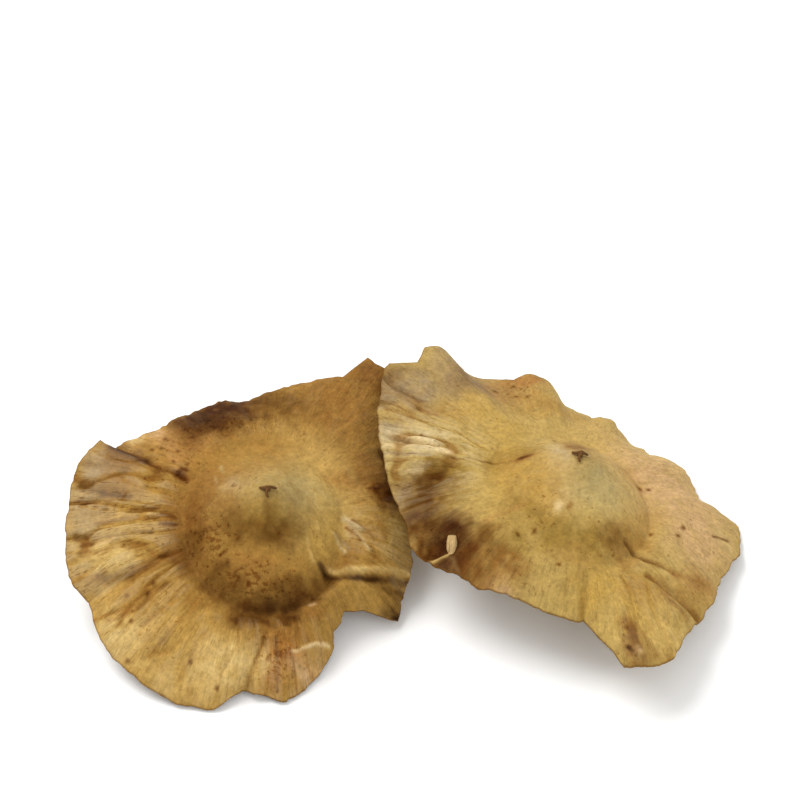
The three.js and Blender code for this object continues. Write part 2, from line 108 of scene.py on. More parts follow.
LEFT_FRUIT = {
    "name": "left",
    "seed": 11,
    "lean": 14.0,
    "lean_towards": -63.0,
    "dome_height": 4.1,
    "crown_offset": (0.0, 0.4),
    "groove_radius": 6.4,
    "groove_bulge": 1.9,
    # The side on which the body is fullest; the pairs below run from the opposite side to it.
    "full_side": 275.0,
    "groove_depth": (0.05, 0.5),
    "roundness": (0.3, 0.95),
    "swell": (0.25, 0.75),
    "crown_tip": (1.0, 2.2),
    # Margin stations: bearing, reach from the axis, lift above the groove.
    "margin": [
        (3, 11.8, -2.0), (20, 12.4, -1.9), (35, 13.9, -2.4), (56, 18.5, -3.0), (63, 18.4, -2.9),
        (66, 15.4, -2.2), (78, 13.9, -2.7), (96, 11.9, -3.2), (108, 12.3, -3.2), (120, 11.9, -3.0),
        (138, 12.4, -2.8), (150, 13.8, -2.6), (152, 14.9, -1.8), (162, 15.5, -2.2), (172, 15.6, -2.6),
        (186, 15.5, -3.0), (195, 15.9, -3.1), (201, 15.6, -3.4), (206, 14.8, -3.6), (212, 15.3, -3.7),
        (222, 15.9, -3.8), (232, 16.0, -3.8), (248, 15.9, -3.8), (258, 15.6, -3.7), (266, 13.6, -2.9),
        (275, 14.2, -3.2), (280, 14.6, -3.2), (299, 12.0, -3.5), (303, 11.4, -3.4), (306, 10.4, -3.0),
        (315, 9.7, -2.4), (322, 10.8, -2.4), (329, 13.1, -3.6), (335, 12.6, -3.3), (344, 12.6, -2.4),
    ],
    # Folds: start and end as (bearing, reach), height (minus is a valley), half width.
    "folds": [
        ((154, 7.3), (151, 14.4), -0.6, 0.5),
        ((319, 6.7), (344, 12.7), 0.5, 0.5),
        ((314, 6.9), (340, 12.5), -0.6, 0.5),
        ((206, 8.5), (206, 14.8), -0.45, 0.7),
        ((273, 9.5), (266, 13.6), -0.6, 0.7),
        ((283, 11.6), (302, 11.4), 0.35, 0.4),
        ((168, 8.5), (167, 15.0), 0.3, 0.6),
        ((180, 8.5), (180, 15.0), -0.3, 0.5),
        ((192, 9.0), (193, 15.2), 0.3, 0.6),
        ((230, 10.0), (232, 15.5), 0.25, 1.3),
    ],
    "hollows": [],
    # Fine crinkles: start, end, height (minus is a valley).
    "crinkles": [
        ((349, 4.2), (340, 4.6), 0.12), ((323, 4.4), (313, 5.9), 0.1), ((4, 6.5), (355, 7.9), 0.16),
        ((350, 6.1), (342, 7.4), -0.16), ((347, 5.8), (339, 7.2), 0.14), ((352, 7.4), (345, 8.9), 0.16),
        ((356, 7.0), (348, 8.3), -0.16), ((335, 5.0), (328, 6.3), 0.12), ((331, 6.0), (336, 8.0), -0.1),
        ((155, 7.2), (152, 13.8), -0.16), ((162, 15.2), (161, 11.5), -0.2),
        ((169, 15.2), (173, 10.8), -0.22), ((174, 15.4), (175, 13.2), -0.16),
        ((179, 10.4), (178, 8.2), -0.12), ((186, 15.2), (192, 9.0), -0.2),
        ((190, 14.2), (192, 12.3), -0.16), ((207, 11.4), (206, 8.0), -0.2),
        ((219, 12.6), (220, 9.8), -0.14), ((226, 13.0), (228, 9.8), -0.12),
        ((196, 15.0), (198, 9.0), 0.12), ((284, 14.0), (284, 11.8), -0.12),
        ((277, 14.0), (278, 10.4), -0.14),
    ],
    # How far the ribs of the wing stand out, and sectors with more: bearing, half width, gain.
    "rib_base": 0.3,
    "rib_sectors": [(183, 26, 1.6), (232, 24, 0.35), (280, 16, 0.5), (350, 18, 0.5)],
    "base": "ochre",
    # Stained and bleached areas, with painted shade, shadow and light among them: bearing, reach, size
    # along and across, colour, strength.
    "patches": [
        (55, 4.2, 3.4, 4.6, "crown_grey", 0.9), (150, 2.4, 2.2, 2.6, "crown_grey", 0.7),
        # Painted shade: (282, 1.7) on the next line darkens the slope just below the crown's tip.
        (345, 2.4, 1.8, 2.0, "crown_green", 0.7), (282, 1.7, 1.0, 2.8, "olive_gold", 0.9),
        (330, 7.5, 0.8, 1.0, "bark_tan", 0.6), (30, 7.1, 0.9, 2.0, "dull_ochre", 0.7),
        (2, 4.8, 1.2, 1.6, "gold", 0.5), (50, 6.8, 1.8, 4.2, "gold", 0.9),
        (190, 5.6, 1.3, 3.6, "brown", 0.9), (160, 4.8, 1.0, 1.6, "brown", 0.7),
        # Painted shade: (217, 3.4) on the next line and (268, 2.6), (297, 2.6) on the one after darken
        # the slope below the crown's tip.
        (217, 3.4, 1.2, 1.9, "olive_brown", 0.7), (205, 6.2, 0.9, 1.4, "olive_brown", 0.8),
        (268, 2.6, 1.1, 2.3, "olive_brown", 0.75), (297, 2.6, 1.0, 1.8, "olive_brown", 0.7),
        (275, 4.7, 0.6, 3.6, "dull_ochre", 0.7), (330, 4.9, 0.9, 1.8, "deep_gold", 0.5),
        # Partly brown stain, partly painted shade: the dark patches here and on the next four lines
        # darken the groove at the foot of the body on its full side.
        (245, 6.4, 0.8, 2.2, "olive_brown", 0.9), (288, 6.4, 0.7, 2.0, "olive_brown", 0.8),
        (268, 7.7, 0.75, 2.2, "umber", 0.9), (297, 7.6, 0.8, 2.0, "umber", 0.9),
        (281, 7.7, 0.8, 1.4, "dark_umber", 0.8), (262, 5.3, 1.0, 1.8, "bark_tan", 0.6),
        (241, 7.6, 0.7, 1.5, "umber", 0.8), (318, 7.4, 0.7, 1.2, "olive_brown", 0.9),
        (266, 9.0, 0.7, 1.6, "umber", 0.95), (284, 9.1, 0.7, 1.4, "umber", 0.9),
        (300, 9.0, 0.7, 1.0, "bark_tan", 0.8), (184, 7.4, 0.9, 2.4, "bark_tan", 0.8),
        (216, 7.6, 0.8, 1.6, "bark_tan", 0.7), (62, 12.6, 4.0, 4.0, "bark_tan", 0.85),
        (58, 17.2, 1.6, 2.6, "brown", 0.85), (84, 11.4, 1.9, 2.4, "olive_brown", 0.75),
        (103, 9.9, 1.8, 2.4, "umber", 0.9), (109, 11.2, 1.1, 2.6, "dark_red", 0.9),
        (124, 11.0, 1.0, 1.4, "umber", 0.9), (123, 9.9, 1.6, 1.6, "umber", 1.0),
        (113, 9.4, 1.3, 1.6, "umber", 0.9), (118, 7.6, 0.8, 2.2, "bark_tan", 0.6),
        (90, 6.8, 1.4, 2.2, "dull_ochre", 0.6), (178, 3.2, 1.0, 1.4, "bark_tan", 0.5),
        (105, 4.6, 2.4, 4.2, "dull_ochre", 0.6), (143, 3.4, 1.2, 1.9, "bark_tan", 0.6),
        # Partly red-brown stain, partly painted shadow: these patches and those on the next line darken
        # the wing where the right fruit's edge lies over it.
        (20, 9.7, 1.2, 1.9, "red_brown", 0.95), (18, 11.0, 1.0, 1.1, "dark_red", 0.95),
        (34, 10.4, 1.2, 2.0, "bark_tan", 0.8), (24, 11.9, 0.8, 1.4, "brown", 0.7),
        (138, 9.2, 2.8, 1.9, "rust", 0.6), (134, 6.3, 1.2, 2.0, "dull_ochre", 0.7),
        # Painted shadow: (157, 12.4) darkens the wing below the raised flap edge near bearing 152.
        (144, 13.1, 0.7, 0.9, "pale_knot", 0.8), (157, 12.4, 1.3, 0.6, "brown", 0.9),
        (138, 11.8, 0.7, 0.9, "pink_tan", 0.6), (161, 12.4, 1.7, 1.2, "bark_tan", 0.9),
        (169, 12.0, 1.4, 0.9, "bark_tan", 0.6), (178, 12.0, 1.2, 1.2, "bark_tan", 0.45),
        # Painted shadow: (154, 13.6) darkens the wing below the raised flap edge near bearing 152.
        (154, 13.6, 0.8, 0.8, "brown", 0.9), (163, 14.0, 1.0, 2.0, "grey_tan", 0.7),
        (170, 11.6, 1.8, 1.0, "bark_tan", 0.6), (183, 13.8, 1.6, 3.4, "grey_tan", 0.5),
        (186, 10.6, 1.6, 1.8, "pale_ochre", 0.6), (200, 12.8, 2.4, 2.0, "pale_straw", 0.85),
        (213, 11.4, 2.0, 1.5, "dull_ochre", 0.7), (220, 14.6, 1.6, 2.4, "pale_straw", 0.8),
        (240, 12.2, 2.2, 2.6, "pale_ochre", 0.5), (240, 15.0, 1.4, 3.2, "pale_straw", 0.5),
        (259, 12.9, 2.0, 2.6, "straw", 0.9), (236, 9.0, 0.8, 1.6, "dull_ochre", 0.8),
        (279, 11.6, 1.3, 1.2, "orange", 0.9), (276, 13.2, 1.0, 0.8, "rust", 0.7),
        (7, 9.9, 0.9, 0.9, "ochre", 0.7), (289, 12.8, 1.0, 1.6, "pink_tan", 0.7),
        (285, 10.4, 0.7, 1.4, "bark_tan", 0.8), (271, 10.3, 0.8, 0.8, "bark_tan", 0.7),
        (345, 6.2, 1.8, 1.8, "deep_gold", 0.6), (356, 7.3, 0.7, 0.9, "silver_tan", 0.6),
        (341, 7.5, 0.7, 1.1, "brown", 0.6), (352, 9.0, 1.2, 2.0, "dull_ochre", 0.7),
        (350, 10.9, 1.2, 1.2, "gold", 0.5), (326, 10.0, 1.4, 1.3, "ochre", 0.8),
        (328, 12.9, 0.55, 0.7, "near_black", 0.9), (336, 12.3, 0.7, 0.7, "olive_brown", 0.8),
        # Painted light: (1, 10.5) lightens the wing where the right fruit's edge shades it.
        (302, 8.1, 0.22, 0.28, "pink_tan", 0.8), (1, 10.5, 0.9, 1.0, "gold", 0.8),
        (30, 7.5, 0.9, 1.5, "bark_tan", 0.7), (119, 9.2, 1.0, 1.5, "umber", 0.9),
        (119, 10.5, 0.9, 1.2, "dark_umber", 0.6), (150, 5.2, 1.2, 1.3, "bark_tan", 0.5),
        # Painted shadow: (150, 12.0) darkens the wing below the raised flap edge near bearing 152.
        (150, 12.0, 0.9, 0.8, "bark_tan", 0.7), (211, 7.6, 0.8, 1.4, "umber", 0.6),
        (270, 12.0, 1.0, 1.0, "straw", 0.7), (88, 5.6, 2.4, 2.4, "dull_ochre", 0.35),
        (32, 12.0, 0.8, 0.9, "dull_ochre", 0.6), (150, 3.0, 0.8, 0.9, "crown_pale", 0.5),
    ],
    # Lines drawn along folds and tears, some of them painted shade, shadow and highlight: start, end,
    # half width, colour, strength.
    "lines": [
        ((154, 7.4), (155, 11.0), 0.3, "red_brown", 0.75),
        # Painted shadow along the raised flap edge near bearing 152.
        ((153.5, 10.8), (152.5, 13.6), 0.5, "dark_red", 0.9),
        ((155, 7.0), (154, 7.7), 0.35, "red_brown", 0.9),
        ((149, 7.3), (150, 7.7), 0.22, "red_brown", 0.8),
        ((162, 15.0), (161, 11.8), 0.4, "grey_brown", 0.75),
        ((169, 15.0), (171.5, 12.8), 0.22, "olive_brown", 0.9),
        ((171.5, 12.8), (173, 10.8), 0.26, "umber", 0.85),
        ((170, 11.3), (173, 11.0), 0.2, "brown", 0.7),
        ((174, 15.3), (175, 13.4), 0.2, "brown", 0.85),
        ((179, 10.4), (178, 8.2), 0.2, "brown", 0.75),
        ((182.5, 13.2), (184, 8.2), 0.18, "brown", 0.75),
        ((183, 7.9), (184, 7.0), 0.22, "red_brown", 0.7),
        ((188, 8.2), (190, 7.0), 0.22, "red_brown", 0.7),
        ((186, 15.0), (190, 12.2), 0.2, "olive_brown", 0.75),
        ((190, 12.2), (192, 9.0), 0.2, "olive_brown", 0.85),
        ((190, 14.2), (192, 12.3), 0.26, "bark_tan", 0.7),
        ((200, 15.4), (203, 13.4), 0.4, "bark_tan", 0.7),
        ((202, 13.8), (207, 11.4), 0.32, "olive_brown", 0.85),
        ((207, 11.4), (207, 7.6), 0.45, "brown", 0.85),
        ((216, 14.6), (219, 12.4), 0.24, "bark_tan", 0.8),
        ((219, 12.4), (220, 9.6), 0.2, "brown", 0.7),
        ((226, 13.0), (228, 9.8), 0.2, "bark_tan", 0.6),
        ((234, 14.2), (236, 11.0), 0.2, "bark_tan", 0.5),
        ((246, 14.6), (247, 11.0), 0.2, "dull_ochre", 0.6),
        # Painted highlight and shade: a pale line on the crease's ridge, a dark line in its valley and
        # a near-black mark at its root.
        ((321, 6.9), (344.5, 12.6), 0.26, "straw", 0.8),
        ((315, 7.0), (341.5, 12.5), 0.2, "dark_umber", 0.9),
        ((316, 6.2), (315, 6.9), 0.25, "near_black", 0.85),
        ((284, 11.4), (292, 11.2), 0.14, "pale_knot", 0.7),
        ((292, 11.2), (301, 11.4), 0.16, "pale_knot", 0.75),
        ((273, 9.8), (267, 13.4), 0.16, "umber", 0.4),
        ((278, 10.4), (277, 14.0), 0.14, "umber", 0.5),
        ((284, 11.8), (284, 14.0), 0.1, "brown", 0.5),
        ((275, 0.3), (277, 2.2), 0.26, "olive_brown", 0.6),
        ((349, 4.2), (340, 4.6), 0.12, "straw", 0.6),
        ((323, 4.4), (313, 5.9), 0.14, "straw", 0.5),
        ((4, 6.5), (355, 7.9), 0.2, "silver_tan", 0.75),
        ((350, 6.1), (342, 7.4), 0.14, "grey_tan", 0.8),
        ((347, 5.8), (339, 7.2), 0.16, "silver_tan", 0.7),
        ((352, 7.4), (345, 8.9), 0.2, "silver_tan", 0.7),
        ((357, 6.7), (348, 8.0), 0.14, "brown", 0.85),
        ((1, 7.2), (352, 9.0), 0.12, "brown", 0.7),
        ((136, 4.6), (132, 5.2), 0.14, "crown_pale", 0.8),
        ((150, 4.4), (144, 5.0), 0.12, "crown_pale", 0.6),
        # Partly red-brown stain, partly painted shadow cast by the right fruit's edge.
        ((36, 11.6), (14, 11.4), 0.35, "dark_red", 0.85),
    ],
    "specks": [
        (229, 15.5), (243, 15.9), (213, 12.6), (216, 10.4), (247, 13.2), (258, 14.2), (293, 3.0),
        (232, 5.3), (232, 5.0), (251, 6.8), (259, 6.4), (140, 9.0), (143, 10.4), (138, 10.8),
        (148, 8.6), (146, 11.0), (221, 13.4), (218, 11.2), (302, 7.9), (235, 3.6),
    ],
    # Areas strewn with fine brown mottling: bearing, reach, size along and across, strength.
    "stains": [
        (215, 5.0, 2.0, 3.4, 1.0), (265, 6.0, 1.8, 4.2, 1.0), (150, 8.0, 2.6, 3.4, 0.7),
        (115, 9.5, 2.2, 4.5, 0.8), (195, 8.2, 1.4, 2.6, 0.5), (278, 12.0, 2.2, 2.0, 0.9),
        (15, 10.0, 1.8, 3.0, 0.6), (228, 12.5, 3.2, 2.6, 0.4), (340, 5.5, 2.0, 2.2, 0.5),
        (165, 3.0, 2.0, 2.0, 0.5), (60, 13.5, 3.5, 3.5, 0.3), (350, 9.0, 1.6, 1.8, 0.4),
    ],
    "style_arms": [(158, 0.66), (28, 0.78), (272, 0.7)],
}

RIGHT_FRUIT = {
    "name": "right",
    "seed": 47,
    "lean": 16.0,
    "lean_towards": 31.0,
    "dome_height": 3.4,
    "crown_offset": (0.1, 0.85),
    "groove_radius": 6.6,
    "groove_bulge": 1.2,
    "full_side": 290.0,
    "groove_depth": (0.0, 0.25),
    "roundness": (0.3, 0.7),
    "swell": (0.15, 0.5),
    "crown_tip": (0.4, 1.6),
    "margin": [
        (10, 15.7, -2.9), (23, 13.3, -2.8), (35, 13.5, -2.2), (48, 12.2, -2.4), (60, 12.6, -2.8),
        (68, 13.1, -2.2), (75, 12.4, -2.2), (85, 13.6, -2.6), (91, 14.8, -1.6), (98, 15.6, -1.2),
        (103, 15.1, -1.6), (112, 16.3, -2.4), (117, 17.2, -2.0), (122, 18.6, -0.8), (126, 19.2, -0.6),
        (130, 18.4, -1.1), (136, 19.8, -1.4), (145, 18.2, -1.3), (156, 16.6, -1.3), (167, 15.3, -1.6),
        (180, 13.6, -3.0), (195, 12.8, -3.6), (203, 13.3, -3.6), (211, 12.3, -3.8), (228, 11.3, -3.2),
        (250, 10.4, -3.0), (270, 11.0, -3.0), (274, 11.4, -3.0), (278, 11.0, -3.0), (283, 14.7, -2.4),
        (286, 16.3, -2.8), (295, 16.6, -2.8), (302, 16.3, -2.6), (308, 15.2, -2.4), (319, 14.4, -2.4),
        (343, 13.8, -2.8), (359, 15.2, -3.0),
    ],
    "folds": [
        ((142, 12.5), (140, 18.0), -0.5, 0.8),
        ((170, 9.5), (169, 15.0), 0.3, 0.6),
        ((184, 8.5), (178, 13.0), -0.7, 1.1),
        ((236, 8.0), (232, 11.2), -0.5, 0.9),
        ((304, 9.0), (320, 14.4), -0.6, 0.6),
        ((352, 9.5), (354, 14.5), 0.3, 1.2),
        ((125, 12.5), (124, 18.4), 0.3, 1.0),
        ((290, 11.0), (291, 16.0), 0.25, 0.9),
    ],
    # Hollows: (bearing, reach), depth, radius.
    "hollows": [((207, 11.2), 1.1, 1.5)],
    "crinkles": [
        ((166, 15.0), (163, 9.8), 0.18), ((163, 15.3), (162, 11.0), -0.14),
        ((161, 15.4), (160, 11.6), 0.12), ((169, 14.8), (168, 11.4), -0.14),
        ((158, 16.4), (157, 14.0), -0.16), ((141, 18.9), (142, 14.9), -0.16),
        ((147, 14.6), (145, 12.7), -0.14), ((152, 16.4), (150, 13.0), -0.12),
        ((165, 8.7), (158, 5.7), -0.08), ((312, 6.6), (315, 8.6), -0.2),
        ((315, 8.6), (321, 10.8), -0.2), ((308, 9.8), (320, 14.2), -0.14),
        ((214, 11.2), (209, 13.2), 0.2), ((216, 11.2), (224, 11.7), 0.14),
        ((291, 15.2), (291.5, 15.6), 0.16),
    ],
    "rib_base": 0.2,
    "rib_sectors": [(165, 22, 1.3), (300, 18, 0.4)],
    "base": "wing_gold",
    "patches": [
        (25, 9.5, 5.0, 6.0, "pink_tan", 0.75), (350, 11.0, 3.0, 3.0, "pink_tan", 0.6),
        (165, 2.2, 1.5, 3.2, "crown_pale", 0.9), (235, 2.4, 1.2, 1.8, "crown_pale", 0.6),
        # Painted shade: (82, 2.8) darkens the crown just behind the style.
        (82, 2.8, 1.7, 1.1, "brown", 0.8), (84, 5.2, 1.2, 1.2, "bark_tan", 0.6),
        (168, 5.2, 1.4, 3.8, "deep_gold", 0.8), (160, 5.2, 1.0, 1.2, "dull_ochre", 0.5),
        (195, 3.4, 1.1, 3.2, "deep_gold", 0.75), (140, 4.6, 0.9, 1.2, "olive_gold", 0.6),
        (226, 4.7, 1.1, 2.4, "olive_gold", 0.8), (252, 4.7, 0.8, 2.0, "olive_gold", 0.7),
        (160, 6.0, 0.8, 1.6, "olive_gold", 0.5), (148, 17.6, 1.2, 2.0, "grey_brown", 0.8),
        (139, 18.6, 1.4, 1.6, "grey_brown", 0.8), (140, 16.0, 2.0, 2.2, "grey_tan", 0.9),
        (121, 14.2, 2.3, 2.9, "grey_tan", 0.95), (140, 12.2, 1.4, 1.4, "dull_ochre", 0.5),
        (124, 17.0, 1.6, 1.6, "grey_tan", 0.6), (110, 13.4, 2.2, 2.4, "rust", 0.5),
        (123, 14.0, 1.6, 1.8, "grey_brown", 0.5), (100, 14.9, 0.9, 1.7, "rust", 0.9),
        (101, 11.6, 1.6, 1.8, "dull_ochre", 0.4), (144, 15.4, 2.0, 0.5, "brown", 0.5),
        (131, 11.6, 1.6, 1.6, "deep_gold", 0.7), (160, 15.4, 1.4, 1.3, "grey_tan", 0.75),
        # Painted shade: (175, 10.7) here and (182, 11.3), (190, 11.8), (181, 9.9) on the next two lines
        # darken the steep face of the fold valley.
        (163, 12.8, 2.6, 1.7, "silver_tan", 0.7), (175, 10.7, 1.6, 1.1, "olive_gold", 0.9),
        (182, 11.3, 1.6, 1.5, "olive_brown", 0.9), (190, 11.8, 1.2, 1.2, "umber", 0.7),
        (181, 9.9, 1.1, 1.3, "olive_brown", 0.6), (212, 7.6, 1.1, 1.8, "pale_ochre", 0.3),
        (300, 11.2, 2.2, 1.8, "ochre", 0.5), (212, 2.6, 1.6, 1.6, "deep_gold", 0.5),
        (358, 13.4, 0.8, 1.2, "straw", 0.5), (180, 12.9, 0.7, 1.2, "grey_tan", 0.8),
        # Painted shade: (204, 10.8) here and the dark patches on the next three lines darken the hollow
        # round the splinter.
        (176, 9.0, 0.9, 1.0, "olive_gold", 0.7), (204, 10.8, 1.3, 1.6, "dark_red", 0.95),
        (195, 12.0, 1.0, 1.3, "umber", 0.9), (211, 11.2, 1.2, 1.1, "dark_red", 0.95),
        (206, 12.5, 0.8, 1.6, "red_brown", 0.9), (219, 11.0, 0.9, 0.9, "purple_brown", 0.9),
        (222, 9.0, 1.0, 1.2, "olive_brown", 0.8), (222, 10.4, 1.1, 1.1, "red_brown", 0.85),
        (230, 10.6, 0.8, 1.3, "brown", 0.9), (238, 9.2, 1.0, 1.6, "brown", 0.8),
        (236, 7.6, 1.0, 1.6, "olive_gold", 0.7), (241, 10.9, 0.6, 1.2, "pink_tan", 0.6),
        # Painted shade: these patches and (302, 6.2), (320, 6.4) on the next line darken the foot of
        # the body on its full side, below the dome.
        (262, 6.1, 0.9, 1.8, "olive_gold", 0.9), (284, 6.1, 0.9, 1.6, "olive_gold", 0.9),
        (302, 6.2, 1.0, 1.5, "olive_brown", 0.7), (320, 6.4, 1.3, 1.3, "dull_ochre", 0.8),
        (342, 6.8, 1.0, 1.6, "dull_ochre", 0.4), (222, 6.4, 0.8, 1.2, "olive_gold", 0.5),
        # Painted shade: (305, 7.9) here and (281, 8.8) on the next line darken the foot of the body
        # below the dome.
        (305, 7.9, 0.8, 1.2, "bark_tan", 0.6), (345, 1.6, 1.4, 1.2, "crown_green", 0.8),
        (320, 3.0, 1.6, 2.0, "crown_grey", 0.6), (281, 8.8, 2.2, 1.6, "olive_gold", 0.45),
        (284, 9.8, 1.4, 2.2, "deep_gold", 0.9), (298, 12.0, 2.6, 2.4, "deep_gold", 0.9),
        (300, 14.6, 1.6, 2.0, "gold", 0.7), (330, 12.9, 1.2, 1.3, "rust", 0.7),
        (320, 12.9, 1.7, 1.1, "ochre", 0.85), (312, 11.4, 1.4, 0.8, "dull_ochre", 0.6),
        # Painted shadow: (290, 14.2), (291, 16.2) here and (288, 15.2) on the next line darken the wing
        # round the small pale knot.
        (290, 14.2, 1.1, 0.55, "brown", 0.9), (291, 16.2, 0.4, 0.8, "brown", 0.8),
        (288, 15.2, 0.6, 0.5, "bark_tan", 0.8), (132, 8.1, 2.0, 2.0, "deep_gold", 0.6),
        (69, 8.7, 2.4, 3.0, "gold", 0.5), (30, 6.0, 0.9, 1.6, "dull_ochre", 0.4),
        (45, 12.2, 1.3, 4.0, "pale_straw", 0.6), (150, 15.0, 1.2, 1.2, "bark_tan", 0.35),
        (205, 3.2, 2.4, 3.2, "dull_ochre", 0.35), (90, 10.4, 1.4, 2.2, "dull_ochre", 0.4),
        # Painted shade: (210, 10.2) darkens the hollow round the splinter.
        (210, 10.2, 0.8, 1.0, "umber", 0.6), (270, 7.4, 1.0, 2.0, "dull_ochre", 0.35),
        # Painted shade: (181, 11.2) adds to the shade on the fold valley's steep face.
        (300, 10.6, 1.3, 1.2, "bark_tan", 0.4), (181, 11.2, 1.4, 1.1, "umber", 0.35),
        (325, 1.4, 1.6, 2.0, "crown_grey", 0.6),
    ],
    "lines": [
        ((165, 8.7), (158, 5.7), 0.1, "olive_brown", 0.75),
        ((154, 4.6), (150, 4.2), 0.5, "brown", 0.95),
        ((119, 5.2), (117, 4.8), 0.12, "bark_tan", 0.8),
        ((166, 15.0), (163, 9.8), 0.26, "pale_knot", 0.8),
        ((163, 15.3), (162, 11.0), 0.12, "grey_brown", 0.7),
        ((161, 15.4), (160, 11.6), 0.16, "pale_knot", 0.5),
        ((169, 14.8), (168, 11.4), 0.14, "grey_tan", 0.8),
        ((158, 16.4), (157, 14.0), 0.16, "grey_brown", 0.75),
        ((141, 18.9), (142, 14.9), 0.3, "grey_brown", 0.85),
        ((147, 14.6), (145, 12.7), 0.22, "bark_tan", 0.8),
        ((152, 16.4), (150, 13.0), 0.12, "bark_tan", 0.6),
        ((173, 14.0), (174, 11.8), 0.12, "pale_knot", 0.4),
        ((312, 6.6), (315, 8.6), 0.24, "umber", 0.75),
        ((315, 8.6), (321, 10.8), 0.26, "brown", 0.75),
        ((321, 10.8), (331, 13.0), 0.35, "bark_tan", 0.6),
        ((308, 9.8), (313, 11.7), 0.22, "brown", 0.7),
        ((313, 11.7), (320, 14.2), 0.3, "brown", 0.75),
        ((309, 11.6), (313, 14.0), 0.2, "bark_tan", 0.6),
        ((355, 12.5), (359, 13.9), 0.16, "umber", 0.75),
        ((214, 11.2), (209, 13.2), 0.17, "pale_straw", 0.95),
        ((216, 11.2), (224, 11.7), 0.13, "grey_brown", 0.8),
        ((291, 15.3), (291.5, 15.5), 0.2, "pale_knot", 0.95),
        # Painted shadow round the small pale knot, here and on the next line.
        ((288, 15.1), (289, 15.4), 0.18, "dark_umber", 0.9),
        ((289, 13.2), (291.5, 15.2), 0.45, "brown", 0.75),
        ((246, 3.6), (247, 3.9), 0.3, "pale_knot", 0.6),
        ((260, 3.2), (259, 3.5), 0.2, "brown", 0.7),
        ((20, 6.4), (8, 6.2), 0.3, "rust", 0.45),
        ((216, 5.2), (212, 8.0), 0.3, "rust", 0.45),
    ],
    "specks": [
        (150, 4.3), (152, 4.5), (154.5, 4.6), (112, 13.8), (105, 14.1), (106, 12.5), (102, 12.2),
        (343, 9.4), (18, 7.2), (19, 6.4), (350, 9.6), (240, 6.2), (232, 7.0), (262, 8.2), (100, 5.6),
        (336, 7.4),
    ],
    "stains": [
        (205, 11.5, 1.8, 2.4, 0.5), (104, 13.5, 1.6, 2.2, 0.7), (240, 5.0, 2.4, 2.6, 0.5),
        (290, 6.5, 1.6, 2.6, 0.5), (60, 5.0, 2.4, 2.4, 0.3), (288, 14.4, 1.6, 1.2, 0.6),
        (140, 5.0, 1.4, 1.6, 0.6), (325, 12.5, 1.6, 1.6, 0.4), (250, 9.6, 1.2, 3.0, 0.5),
    ],
    "style_arms": [(150, 0.72), (35, 0.72), (262, 0.76)],
}

# Uneven swellings of the dry tissue, each set as height and spacing.
COCKLES = ((0.2, 3.1),)
WRINKLES = ((0.06, 1.3), (0.03, 0.6))
WARTS = ((0.06, 0.8), (0.04, 0.42), (0.14, 2.6))
CRINKLE_WIDTH = 0.2
# The faint seams that run down the body from the style: depth, half width, where they end.
SEAM_DEPTH = 0.04
SEAM_WIDTH = 0.2
SEAM_END = 3.2
# Nibbles of the margin, coarse to fine: depth and how many go round.
NIBBLES = ((0.12, 96), (0.07, 250))
# Flat seat of the stalk below the body.
SEAT_RADIUS = 1.6
# Thickness of the solid wing at its margin, by which the fine skin is placed over it.
SOLID_MARGIN = 0.3
# The small brown specks: size along and across, and strength.
SPECK_SIZE = (0.19, 0.17)
SPECK_STRENGTH = 0.75
# Sets of ribs, coarse to fine: how many go round the wing, height, length along the wing.
RIB_SETS = ((40, 0.13, 6.0), (90, 0.09, 4.0), (170, 0.05, 2.5))
# Height of a rib that counts as a full one for its colour.
FULL_RIB = 0.12

# Surface grid: how fine the skin is built.
BEARING_STEP = 0.75
BODY_RINGS = 46
WING_RINGS = 90
UNDER_BODY_RINGS = 20
UNDER_WING_RINGS = 30


def display(hex_colour):
    """A colour such as AE8A4E as three display values from 0 to 1."""
    return np.array([int(hex_colour[i:i + 2], 16) / 255 for i in (0, 2, 4)])


def linear(colour):
    """Display values, or a colour such as AE8A4E, as linear values."""
    shown = display(colour) if isinstance(colour, str) else colour
    return np.where(shown <= 0.04045, shown / 12.92, ((shown + 0.055) / 1.055) ** 2.4)


# ---------------------------------------------------------------------------
# Repeatable noise
# ---------------------------------------------------------------------------

def lattice(ix, iy, seed):
    """A repeatable value from -1 to 1 for every whole-number point."""
    n = (ix * 374761393 + iy * 668265263 + seed * 974634777) & 0x7FFFFFFF
    n = ((n ^ (n >> 13)) * 1274126177) & 0x7FFFFFFF
    return ((n ^ (n >> 16)) & 0xFFFF) / 32767.5 - 1.0


def noise(x, y, seed, wrap=0):
    """Smooth noise from -1 to 1. With wrap, it repeats after that many steps of x."""
    x, y = np.broadcast_arrays(x, y)
    x0, y0 = np.floor(x).astype(np.int64), np.floor(y).astype(np.int64)
    u, v = x - x0, y - y0
    u, v = u * u * (3 - 2 * u), v * v * (3 - 2 * v)

    def corner(dx, dy):
        ix = (x0 + dx) % wrap if wrap else x0 + dx
        return lattice(ix, y0 + dy, seed)

    low = corner(0, 0) * (1 - u) + corner(1, 0) * u
    high = corner(0, 1) * (1 - u) + corner(1, 1) * u
    return low * (1 - v) + high * v


def bump(distance, width):
    return np.exp(-(distance / width) ** 2)


# ---------------------------------------------------------------------------
# The fruit's surface
# ---------------------------------------------------------------------------

def polar(bearing, reach):
    angle = np.radians(bearing)
    return reach * np.cos(angle), reach * np.sin(angle)


def bearing_gap(a, b):
    """Degrees from b to a, from -180 to 180."""
    return (np.asarray(a) - b + 180) % 360 - 180


